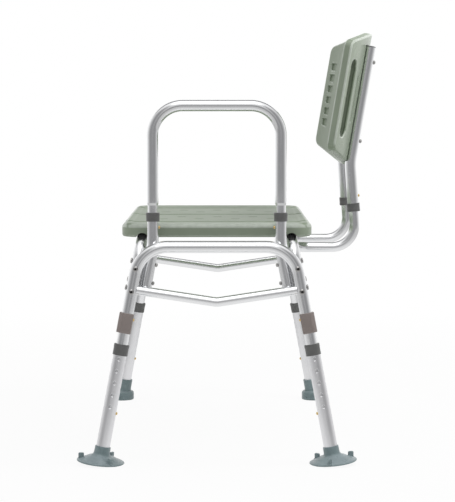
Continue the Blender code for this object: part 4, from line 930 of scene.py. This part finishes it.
def build_frame_tubes():
    for side in SIDES:
        name = f"{SIDE_NAMES[side]}_seat_rail"
        corners = [rail_point(end, side, height) for end, height in (
            (NEAR, RAIL_END_HEIGHT), (NEAR, RAIL_HEIGHT), (FAR, RAIL_HEIGHT), (FAR, RAIL_END_HEIGHT))]
        dress(tube(name, filleted(corners, RAIL_BEND_RADIUS), FRAME_TUBE, FRAME_WALL), "aluminium", name)
    for end in ENDS:
        name = f"{END_NAMES[end]}_end_frame"
        corners = [leg_point(end, side, height) for side, height in (
            (FRONT, FRAME_LEG_END), (FRONT, FRAME_TOP), (REAR, FRAME_TOP), (REAR, FRAME_LEG_END))]
        heights = [LEG_BUTTON_HEIGHT, CLIP_BUTTON_HEIGHT] if end == NEAR else [LEG_BUTTON_HEIGHT]
        hoop = pocketed(tube(name, filleted(corners, FRAME_BEND_RADIUS), FRAME_TUBE), FRAME_TUBE,
                        [leg_button(end, side, height) for side in SIDES for height in heights])
        dress(hoop, "aluminium", name)
        name = f"{END_NAMES[end]}_v_brace"
        apex = leg_point(end, REAR, BRACE_APEX_HEIGHT)
        apex.y = HOME.y
        legs = [leg_point(end, side, BRACE_END_HEIGHT) for side in SIDES]
        front, rear = (leg + (apex - leg).normalized() * (FRAME_TUBE / 2 - 2 * FRAME_WALL) for leg in legs)
        dress(tube(name, filleted([front, apex, rear], BRACE_BEND_RADIUS), BRACE_TUBE), "aluminium", name)


def build_extensions():
    radius = EXTENSION_TUBE / 2
    step_down = HOLE_PITCH / LEG_STRETCH
    for end, side in LEGS:
        name = f"{END_NAMES[end]}_{SIDE_NAMES[side]}_leg"
        top = LEG_COLLAR_TOP - (COLLAR_LIP + CONTACT) / LEG_STRETCH
        points = [leg_point(end, side, FOOT_FLOOR), leg_point(end, side, top)]
        extension = tube(f"{name}_extension", points, EXTENSION_TUBE, EXTENSION_WALL)
        out = leg_outward(end, side)
        spans = []
        for step in range(HOLE_COUNT):
            for way, lower in ((frame_normal(end), step), (out, step), (-out, step + 0.5)):
                place = leg_point(end, side, FIRST_HOLE_HEIGHT - lower * step_down)
                spans.append([place + way * (radius + 3 * wall) for wall in (-EXTENSION_WALL, EXTENSION_WALL)])
        extension = drilled(extension, spans, HOLE_DIAMETER, sink=3 * EXTENSION_WALL + HOLE_SINK)
        dress(extension, "aluminium", f"{name}_extension", look="satin_aluminium")
        build_collar(f"{name}_collar", leg_point(end, side, LEG_COLLAR_TOP), leg_up(end, side),
                     frame_normal(end), EXTENSION_TUBE, FRAME_TUBE, COLLAR_HEIGHT)
        build_button(f"{name}_button", leg_button(end, side, LEG_BUTTON_HEIGHT), FRAME_TUBE, radius)


def build_collar(name, place, up, facing, outer_tube, inner_tube, height):
    """A moulded ring with rounded edges, a thumb ledge under its top and a shallow waist."""
    outer = outer_tube / 2 + CONTACT
    inner = inner_tube / 2 + CONTACT
    rim = outer_tube / 2 + COLLAR_GROWTH
    r = COLLAR_ROUNDING
    waist = rim - 0.4 * r
    section = [(inner, -COLLAR_LIP), (inner, -r), (inner + r, 0.0), (rim - 1.5 * r, 0.0), (waist, -0.4 * r),
               (rim, -1.4 * r), (rim, -0.28 * height), (waist, -0.31 * height), (waist, -0.90 * height),
               (rim - 0.1 * r, -0.94 * height), (rim - 0.2 * r, -height + 0.5 * r), (rim - r, -height),
               (outer, -height), (outer, -COLLAR_LIP)]
    dress(turned(f"{name}_ring", section, axes_matrix(place, facing, up), sides=56, closed=True),
          "dark_grey_plastic", name)


def build_button(name, seat, inner_tube, outer_radius):
    """A domed button, seated at an (axis place, direction)."""
    radius = BUTTON_DIAMETER / 2
    foot = inner_tube / 2 + CONTACT
    top = outer_radius + BUTTON_PROUD
    section = [(0.0, top), (0.35 * radius, top - 0.0001), (0.62 * radius, top - 0.0004),
               (0.84 * radius, top - 0.0010), (0.96 * radius, top - 0.0018), (radius, top - 0.0027),
               (radius, foot), (0.0, foot)]
    place, way = seat
    dress(turned(f"{name}_dome", section, axes_matrix(place, (0.1, 0.2, 1), way), sides=32), "brass", name)


def build_arm():
    for side in SIDES:
        name = f"{SIDE_NAMES[side]}_arm"
        y = side * ARM_Y
        corners = [receiver_point(side, RECEIVER_END_HEIGHT), at(ARM_X, y, RECEIVER_BEND_HEIGHT),
                   at(ARM_X, y, ARM_COLLAR_TOP - COLLAR_LIP - CONTACT)]
        dress(tube(f"{name}_receiver", filleted(corners, RECEIVER_BEND_RADIUS), FRAME_TUBE, FRAME_WALL),
              "aluminium", f"{name}_receiver")
        build_collar(f"{name}_collar", at(ARM_X, y, ARM_COLLAR_TOP), UP, (1, 0, 0), FRAME_TUBE, ARM_SPIGOT,
                     SMALL_COLLAR_HEIGHT)
        build_button(f"{name}_button", arm_button(side), ARM_SPIGOT, FRAME_TUBE / 2)
    swage_top = ARM_SWAGE_HEIGHT + ARM_SWAGE_LENGTH
    middle = filleted([at(ARM_X, y, z) for y, z in ((-ARM_Y, swage_top), (-ARM_Y, ARM_TOP), (ARM_Y, ARM_TOP),
                                                    (ARM_Y, swage_top))], ARM_BEND_RADIUS)
    neck = [(ARM_RAIL_END, 0.0)]
    neck += [(ARM_SWAGE_HEIGHT + ARM_SWAGE_LENGTH * share, eased(share)) for share in (0.0, 0.2, 0.4, 0.6, 0.8)]
    front = [at(ARM_X, -ARM_Y, height) for height, _ in neck]
    rear = [at(ARM_X, ARM_Y, height) for height, _ in reversed(neck)]
    thin = ARM_SPIGOT / ARM_TUBE
    radii = [thin + (1 - thin) * share for _, share in neck]
    rail = tube("arm_rail", front + middle + rear, ARM_TUBE, radii=radii + [1.0] * len(middle) + radii[::-1])
    dress(pocketed(rail, ARM_SPIGOT, [arm_button(side) for side in SIDES]), "aluminium", "arm_rail")


def build_back():
    corners = [stub_point(NEAR, BACK_STUB_END), stub_point(NEAR, BACK_BASE_HEIGHT),
               at(BACK_SPACING / 2, RAIL_Y, BACK_BASE_HEIGHT), at(-BACK_SPACING / 2, RAIL_Y, BACK_BASE_HEIGHT),
               stub_point(FAR, BACK_BASE_HEIGHT), stub_point(FAR, BACK_STUB_END)]
    points = filleted(corners[:3], BACK_ELBOW_RADIUS)[:-1]
    points += filleted(corners[1:5], BACK_BASE_BEND_RADIUS)[1:-1] + filleted(corners[3:], BACK_ELBOW_RADIUS)[1:]
    support = tube("back_support", points, BACK_TUBE)
    support = pocketed(support, BACK_TUBE, [back_button(end) for end in ENDS])
    dress(support, "aluminium", "back_support")
    for end in ENDS:
        name = f"{END_NAMES[end]}_back"
        corners = [stub_point(end, BACK_COLLAR_BOTTOM) + STUB_UP * (COLLAR_LIP + CONTACT),
                   stub_point(end, UPRIGHT_BEND_HEIGHT), upright_point(end, UPRIGHT_TOP_HEIGHT)]
        dress(tube(f"{name}_upright", filleted(corners, UPRIGHT_BEND_RADIUS), UPRIGHT_TUBE, UPRIGHT_WALL),
              "aluminium", f"{name}_upright")
        build_collar(f"{name}_collar", stub_point(end, BACK_COLLAR_BOTTOM), -STUB_UP, (1, 0, 0), UPRIGHT_TUBE,
                     BACK_TUBE, SMALL_COLLAR_HEIGHT)
        build_button(f"{name}_button", back_button(end), BACK_TUBE, UPRIGHT_TUBE / 2)
        build_plug(f"{END_NAMES[end]}_upright_plug", upright_point(end, UPRIGHT_TOP_HEIGHT))


def build_plug(name, top):
    rim = UPRIGHT_TUBE / 2
    spigot = rim - UPRIGHT_WALL - CONTACT
    section = [(0.0, 0.0024), (rim * 0.6, 0.0021), (rim * 0.9, 0.0015), (rim, 0.0007), (rim, 0.0),
               (spigot, 0.0), (spigot, -PLUG_DEPTH), (0.0, -PLUG_DEPTH)]
    matrix = axes_matrix(top + UPRIGHT_UP * CONTACT, (1, 0, 0), UPRIGHT_UP)
    dress(turned(f"{name}_cap", section, matrix, sides=48), "dark_grey_plastic", name)


def build_clips():
    depth, chamfer, half = CLIP_HALF_DEPTH, CLIP_CHAMFER, CLIP_HEIGHT / 2
    outer, inner = CLIP_OUTER_REACH, -CLIP_INNER_REACH
    outline = [(outer, -depth + chamfer), (outer, depth - chamfer), (outer - chamfer, depth), (inner, depth),
               (inner, -depth), (outer - chamfer, -depth)]
    for side in SIDES:
        name = f"near_{SIDE_NAMES[side]}_leg_clip"
        low, middle, high = (leg_point(NEAR, side, CLIP_MIDDLE_HEIGHT + rise)
                             for rise in (-CLIP_HEIGHT, 0.0, CLIP_HEIGHT))
        matrix = axes_matrix(middle, leg_outward(NEAR, side), leg_up(NEAR, side))
        shape = bmesh.new()
        ringed(shape, outline, [(0.0, -half), (0.0, half)], inside(matrix))
        clip = applied(bevelled(solid(f"{name}_shell", shape), CLIP_EDGE, segments=4))
        clip = drilled(clip, [(low, high)], FRAME_TUBE + 2 * CONTACT, sides=48)
        dress(clip, "taupe_plastic", name)
        build_button(f"{name}_button", leg_button(NEAR, side, CLIP_BUTTON_HEIGHT), FRAME_TUBE, CLIP_INNER_REACH)


def foot_shape(end, side, stem_top, stem, skirt, base, lean):
    """A rubber foot round a leg's end, as circles whose axes turn from the leg's to the lean.

    The stem is (distance down, radius), and the skirt is (share of the lean, height, radius).
    """
    up, top, bore = leg_up(end, side), leg_point(end, side, stem_top), EXTENSION_TUBE / 2 + CONTACT
    rings = [(top - up * down, up, radius)
             for down, radius in ((0.0060, 0.0), (0.0060, bore), (0.0008, bore), (0.0, bore + 0.0006), *stem)]
    for share, height, radius in skirt:
        axis = (up * (1 - share) + lean * share).normalized()
        centre = leg_point(end, side, height) * (1 - share) + (base + lean * height) * share
        rings.append((centre, axis, radius))
    shape = bmesh.new()
    bridge(shape, [circle(shape, axes_matrix(centre, (1, 0, 0), axis), radius, height=0.0, sides=56)
                   for centre, axis, radius in rings])
    return shape


def build_cups():
    radius = CUP_STEM_DIAMETER / 2
    stem = [(0.0, radius - 0.0009), (0.0003, radius - 0.0003), (0.0010, radius), (0.0120, radius + 0.0002),
            (0.0160, radius + 0.0008)]
    skirt = [(0.35, 0.0180, 0.0186), (0.60, 0.0158, 0.0206), (0.85, 0.0140, 0.0236)]
    skirt += [(1.0, height, reach) for height, reach in (
        (0.0125, 0.0272), (0.0103, 0.0316), (0.0078, 0.0368), (0.0056, 0.0425), (0.0040, 0.0472),
        (0.0030, 0.0492), (0.0018, 0.0500), (0.0006, 0.0499), (0.0, 0.0490), (0.0, 0.0440), (0.0030, 0.0380),
        (0.0060, 0.0150), (0.0065, 0.0))]
    for side in SIDES:
        name = f"near_{SIDE_NAMES[side]}_suction_cup"
        lean = Vector((0.0, -side * math.sin(CUP_TILT), math.cos(CUP_TILT)))
        hub = leg_point(NEAR, side, CUP_HUB_HEIGHT)
        base = hub - lean * (hub.z / lean.z)
        base.z = CUP_DIAMETER / 2 * math.sin(CUP_TILT) - CUP_FLOOR_CUT
        shape = foot_shape(NEAR, side, CUP_STEM_TOP, stem, skirt, base, lean)
        disc = axes_matrix(base, (1, 0, 0), lean)
        for step in range(CUP_TAB_COUNT):
            angle = CUP_TAB_TURN[side] + 2 * math.pi * step / CUP_TAB_COUNT
            out = Vector((-math.sin(angle), math.cos(angle), 0.0))
            place = disc @ (out * CUP_TAB_RADIUS + UP * CUP_TAB_FOOT)
            add_tab(shape, axes_matrix(place, out, out.cross(lean)))
        for vertex in shape.verts:
            vertex.co.z = max(0.0, vertex.co.z)
        dress(solid(f"{name}_rubber", shape, angle=50.0), "blue_grey_rubber", name)


def add_tab(shape, matrix):
    """A pull tab as a fin with rounded corners and a flared foot, whose thickness is along the matrix's Z."""
    half, thick, corner = CUP_TAB_WIDTH / 2, CUP_TAB_THICKNESS / 2, CUP_TAB_CORNER
    flare = arc((half + 0.0030, 0.0035), 0.0030, 270, 180, 6)
    outline = flare + arc((half - corner, CUP_TAB_HEIGHT - corner), corner, 0, 90, 8)
    outline += arc((corner - half, CUP_TAB_HEIGHT - corner), corner, 90, 180, 8)
    outline += [(-x, y) for x, y in reversed(flare)]
    profile = [(-0.0009, -thick), (-0.0003, -thick + 0.0003), (0.0, -thick + 0.0010), (0.0, thick - 0.0010),
               (-0.0003, thick - 0.0003), (-0.0009, thick)]
    ringed(shape, outline, profile, inside(matrix))


def build_tips():
    radius, foot = TIP_STEM_DIAMETER / 2, TIP_BASE_DIAMETER / 2
    stem = [(0.0, radius - 0.0010), (0.0003, radius - 0.0003), (0.0012, radius), (0.0090, radius),
            (0.0094, radius - 0.0006), (0.0104, radius - 0.0006), (0.0108, radius), (0.0250, radius + 0.0002),
            (0.0285, radius + 0.0010)]
    skirt = [(0.6, 0.0232, radius + 0.0028), (1.0, 0.0222, radius + 0.0055)]
    skirt += [(1.0, height, foot - inset) for height, inset in (
        (0.0208, 0.0026), (0.0184, 0.0006), (0.0150, 0.0), (0.0090, 0.0), (0.0085, 0.0006), (0.0075, 0.0006),
        (0.0070, 0.0), (0.0012, 0.0), (0.0002, 0.0006), (0.0, 0.0016), (0.0, foot))]
    for side in SIDES:
        name = f"far_{SIDE_NAMES[side]}_rubber_tip"
        base = leg_point(FAR, side, TIP_BASE_HEIGHT / 2)
        base.z = 0.0
        shape = foot_shape(FAR, side, TIP_STEM_TOP, stem, skirt, base, UP)
        dress(solid(f"{name}_rubber", shape, angle=50.0), "blue_grey_rubber", name)


# Fasteners

def bolt(name, length, with_nut):
    """A pan head with a cross recess at the top, its shank down Z, and a lock nut with the bolt's end."""
    head, height, shank = BOLT_HEAD_DIAMETER / 2, BOLT_HEAD_HEIGHT, BOLT_DIAMETER / 2
    span, slot = RECESS_SPAN, RECESS_SLOT / 2
    middle = Matrix.Identity(4)
    item = turned(name, [(0.0, height), (head * 0.45, height * 0.97), (head * 0.72, height * 0.85),
                         (head * 0.90, height * 0.62), (head * 0.985, height * 0.34), (head, height * 0.15),
                         (head, 0.0), (shank, 0.0), (shank, -length), (0.0, -length)], middle, sides=36)
    for turn in (0.0, math.pi / 2):
        recess = bmesh.new()
        outline = [(span, slot), (-span, slot), (-span, -slot), (span, -slot)]
        profile = [(-0.0003, height - RECESS_DEPTH), (0.0002, height + 0.0010)]
        ringed(recess, outline, profile, inside(Matrix.Rotation(turn, 4, "Z")))
        item = cut(item, solid("recess", recess))
    if not with_nut:
        return item
    shape = bmesh.new()
    shape.from_mesh(item.data)
    bpy.data.objects.remove(item)
    end = -length - NUT_HEIGHT + 0.0006
    hexagon, tail, tip = NUT_WIDTH / 2, shank - 0.0002, end - BOLT_TAIL + 0.0008
    for sides, profile in (
            (6, [(0.0, -length), (hexagon * 0.94, -length), (hexagon, -length - 0.0004), (hexagon, end + 0.0012),
                 (hexagon * 0.90, end + 0.0008), (0.0, end + 0.0008)]),
            (32, [(0.0, end + 0.0012), (hexagon * 0.82, end + 0.0010), (hexagon * 0.80, end + 0.0004),
                  (hexagon * 0.66, end), (0.0, end)]),
            (24, [(0.0, end + 0.001), (tail, end + 0.001), (tail, tip + 0.0004), (tail - 0.0005, tip),
                  (0.0, tip)])):
        lathe(shape, profile, middle, sides)
    return solid(name, shape)


def place_bolts(name, places, numbered=True, body="frame", with_nut=True):
    """Copies one bolt to each (head's seat, direction, grip). A numbered one stands for its name's node."""
    pattern = bolt(f"{name}_pattern", places[0][2], with_nut)
    for number, (seat, direction, _) in enumerate(places, 1):
        item = new_object(f"{name}_{number}_screw", pattern.data.copy())
        facing = (0.3, 0.5, 1.0) if abs(direction.z) < 0.9 else (1, 0.4, 0)
        item.matrix_world = axes_matrix(seat, facing, -direction)
        dress(item, "zinc_steel", *([f"{name}_{number}"] if numbered else []), body=body)
        # Painted shade: the faces inside the cross recess get the near-black zinc
        paint_shade_faces(item, "zinc_painted_recess_shade", lambda face: face.center.xy.length < RECESS_SPAN
                    and -0.0005 < face.center.z < BOLT_HEAD_HEIGHT * 0.88)
    bpy.data.objects.remove(pattern)


def panel_bolt_places():
    face = PANEL_REAR - panel_sag(BACK_SPACING / 2) - PANEL_THICKNESS
    length = UPRIGHT_TUBE / 2 + CONTACT - face - PANEL_BOLT_RECESS
    return [(upright_point(end, height) + UPRIGHT_BACK * (face + PANEL_BOLT_RECESS), UPRIGHT_BACK, length)
            for end in ENDS for height in PANEL_BOLT_HEIGHTS]


def build_bolts():
    def through(place, way, grip):
        """A bolt that goes through a frame tube, from the side that the way points to."""
        return place + way * (FRAME_TUBE / 2 + CONTACT), -way, grip

    place_bolts("leg_bolt", [
        through(leg_point(end, side, height), frame_normal(end), FRAME_TUBE + RAIL_OFFSET + 2 * CONTACT)
        for end, side in LEGS for height in LEG_BOLT_HEIGHTS])
    place_bolts("receiver_bolt", [
        through(rail_point(NEAR, side, height), leg_outward(NEAR, side), 2 * FRAME_TUBE + 3 * CONTACT)
        for side in SIDES for height in RECEIVER_BOLT_HEIGHTS])
    place_bolts("brace_bolt", [
        through(leg_point(end, side, BRACE_END_HEIGHT + BRACE_BOLT_RISE), leg_outward(end, side), FRAME_TUBE)
        for side in SIDES for end in ENDS], numbered=False, with_nut=False)
    place_bolts("panel_bolt", panel_bolt_places(), numbered=False, body="backrest")
    low = BACK_BASE_HEIGHT - BACK_TUBE / 2 - CONTACT
    length = RAIL_HEIGHT + FRAME_TUBE / 2 + SADDLE_SCREW_BITE - low
    place_bolts("saddle_screw", [(at(end * SADDLE_X, RAIL_Y, low), UP, length) for end in ENDS],
                with_nut=False)


def finish_saddles():
    for end in ENDS:
        item = frame["nodes"][f"{END_NAMES[end]}_back_saddle"]
        item.data.materials.clear()
        item.data.materials.append(FINISH["dark_grey_plastic"])
        bevelled(item, SADDLE_EDGE, segments=3)


# Stage

def mixed_shader(tree, factor, first, second):
    return node(tree, "ShaderNodeMixShader", {0: factor, 1: first, 2: second}).outputs["Shader"]


def build_floor():
    """A pale disc that keeps the bench's shadow, fades to white further out and is plain in reflections."""
    shape = bmesh.new()
    bmesh.ops.create_circle(shape, cap_ends=True, segments=96, radius=FLOOR_RADIUS)
    floor = solid("floor", shape)
    made, tree, shader = finish("pale_floor", Base_Color=(0.93, 0.93, 0.93, 1.0), Roughness=0.9)
    distance = node(tree, "ShaderNodeVectorMath", {0: coordinates(tree)}, operation="LENGTH").outputs["Value"]
    far_out = between(tree, distance, FLOOR_GLOW_NEAR, 1.0, (FLOOR_GLOW_START, FLOOR_GLOW_END))
    path = node(tree, "ShaderNodeLightPath").outputs
    glow = node(tree, "ShaderNodeEmission").outputs["Emission"]
    seen = mixed_shader(tree, product(tree, far_out, path["Is Camera Ray"]), shader.outputs["BSDF"], glow)
    strength = between(tree, distance, *FLOOR_IN_GLOSS, FLOOR_IN_GLOSS_REACH)
    plain = node(tree, "ShaderNodeEmission", {"Strength": strength}).outputs["Emission"]
    seen = mixed_shader(tree, path["Is Glossy Ray"], seen, plain)
    fill(tree, tree.nodes["Material Output"], {"Surface": seen})
    floor.data.materials.append(made)


def build_world():
    """A white room for the eye, a studio with dim sides and a bright front for gloss, and a soft fill light."""
    world = bpy.data.worlds.new("studio")
    bpy.context.scene.world = world
    world.use_nodes = True
    tree = world.node_tree
    tree.nodes.clear()
    white = (1.0, 1.0, 1.0)
    generated = node(tree, "ShaderNodeTexCoord").outputs["Generated"]
    x, y, z = node(tree, "ShaderNodeSeparateXYZ", {0: generated}).outputs
    ahead = between(tree, worked(tree, "ABSOLUTE", y), 1.0, 0.0, SOFTBOX_SIDES)
    softbox = product(tree, ahead, between(tree, z, 0.0, 1.0, SOFTBOX_RISE))
    core = product(tree, ahead, product(tree, between(tree, z, 0.0, 1.0, SOFTBOX_CORE),
                                        between(tree, x, 0.0, 1.0, SOFTBOX_FRONT)))
    dim = product(tree, between(tree, x, 0.0, 1.0, DIM_SIDE), between(tree, z, 1.0, 0.0, DIM_TOP))
    dark = product(tree, between(tree, x, 1.0, 0.0, DARK_SIDE),
                   product(tree, between(tree, z, 0.0, 1.0, DARK_BOTTOM), between(tree, z, 1.0, 0.0, DARK_TOP)))
    room = blended(tree, softbox, blended(tree, dim, white, DIM_COLOUR), white)
    room = blended(tree, dark, room, DARK_COLOUR)
    gain = between(tree, core, 1.0, 1.0 + SOFTBOX_GAIN, (0.0, 1.0))

    def background(colour, strength):
        return node(tree, "ShaderNodeBackground", {"Color": colour, "Strength": strength}).outputs["Background"]

    path = node(tree, "ShaderNodeLightPath").outputs
    clear = worked(tree, "MAXIMUM", path["Is Camera Ray"], path["Is Transmission Ray"])
    shown = mixed_shader(tree, clear, background((*white, 1.0), FILL_LIGHT), background((*white, 1.0), 1.0))
    shown = mixed_shader(tree, path["Is Glossy Ray"], shown, background(room, gain))
    node(tree, "ShaderNodeOutputWorld", {"Surface": shown})


def add_lamp(name, place, size, power):
    """A square lamp that looks at the middle of the bench and isn't seen in the metal."""
    data = bpy.data.lights.new(name, "AREA")
    data.shape = "SQUARE"
    data.size = size
    data.energy = power
    lamp = new_object(name, data)
    lamp.visible_glossy = False
    lamp.location = place
    lamp.rotation_euler = (Vector(place) - Vector(LAMP_TARGET)).to_track_quat("Z", "Y").to_euler()


def build_camera():
    data = bpy.data.cameras.new("camera")
    data.sensor_width = SENSOR
    data.lens = CAMERA_LENS
    data.clip_end = 50.0
    camera = new_object("camera", data)
    camera.location = HOME + CAMERA_PLACE
    level = math.cos(CAMERA_PITCH)
    look = Vector((-level * math.cos(CAMERA_YAW), level * math.sin(CAMERA_YAW), -math.sin(CAMERA_PITCH)))
    camera.rotation_euler = look.to_track_quat("-Z", "Y").to_euler()
    bpy.context.scene.camera = camera


build_seat()
build_panel()
build_frame_tubes()
build_extensions()
build_arm()
build_back()
build_clips()
build_cups()
build_tips()
build_bolts()
finish_saddles()
build_floor()
build_world()
add_lamp("overhead", (-0.2, 0.0, 3.0), size=3.0, power=18.0)
add_lamp("left", (1.6, -3.0, 1.9), size=1.6, power=7.0)
add_lamp("right", (0.3, 1.1, 1.75), size=0.6, power=10.0)
build_camera()
bpy.context.scene.view_settings.view_transform = "Standard"
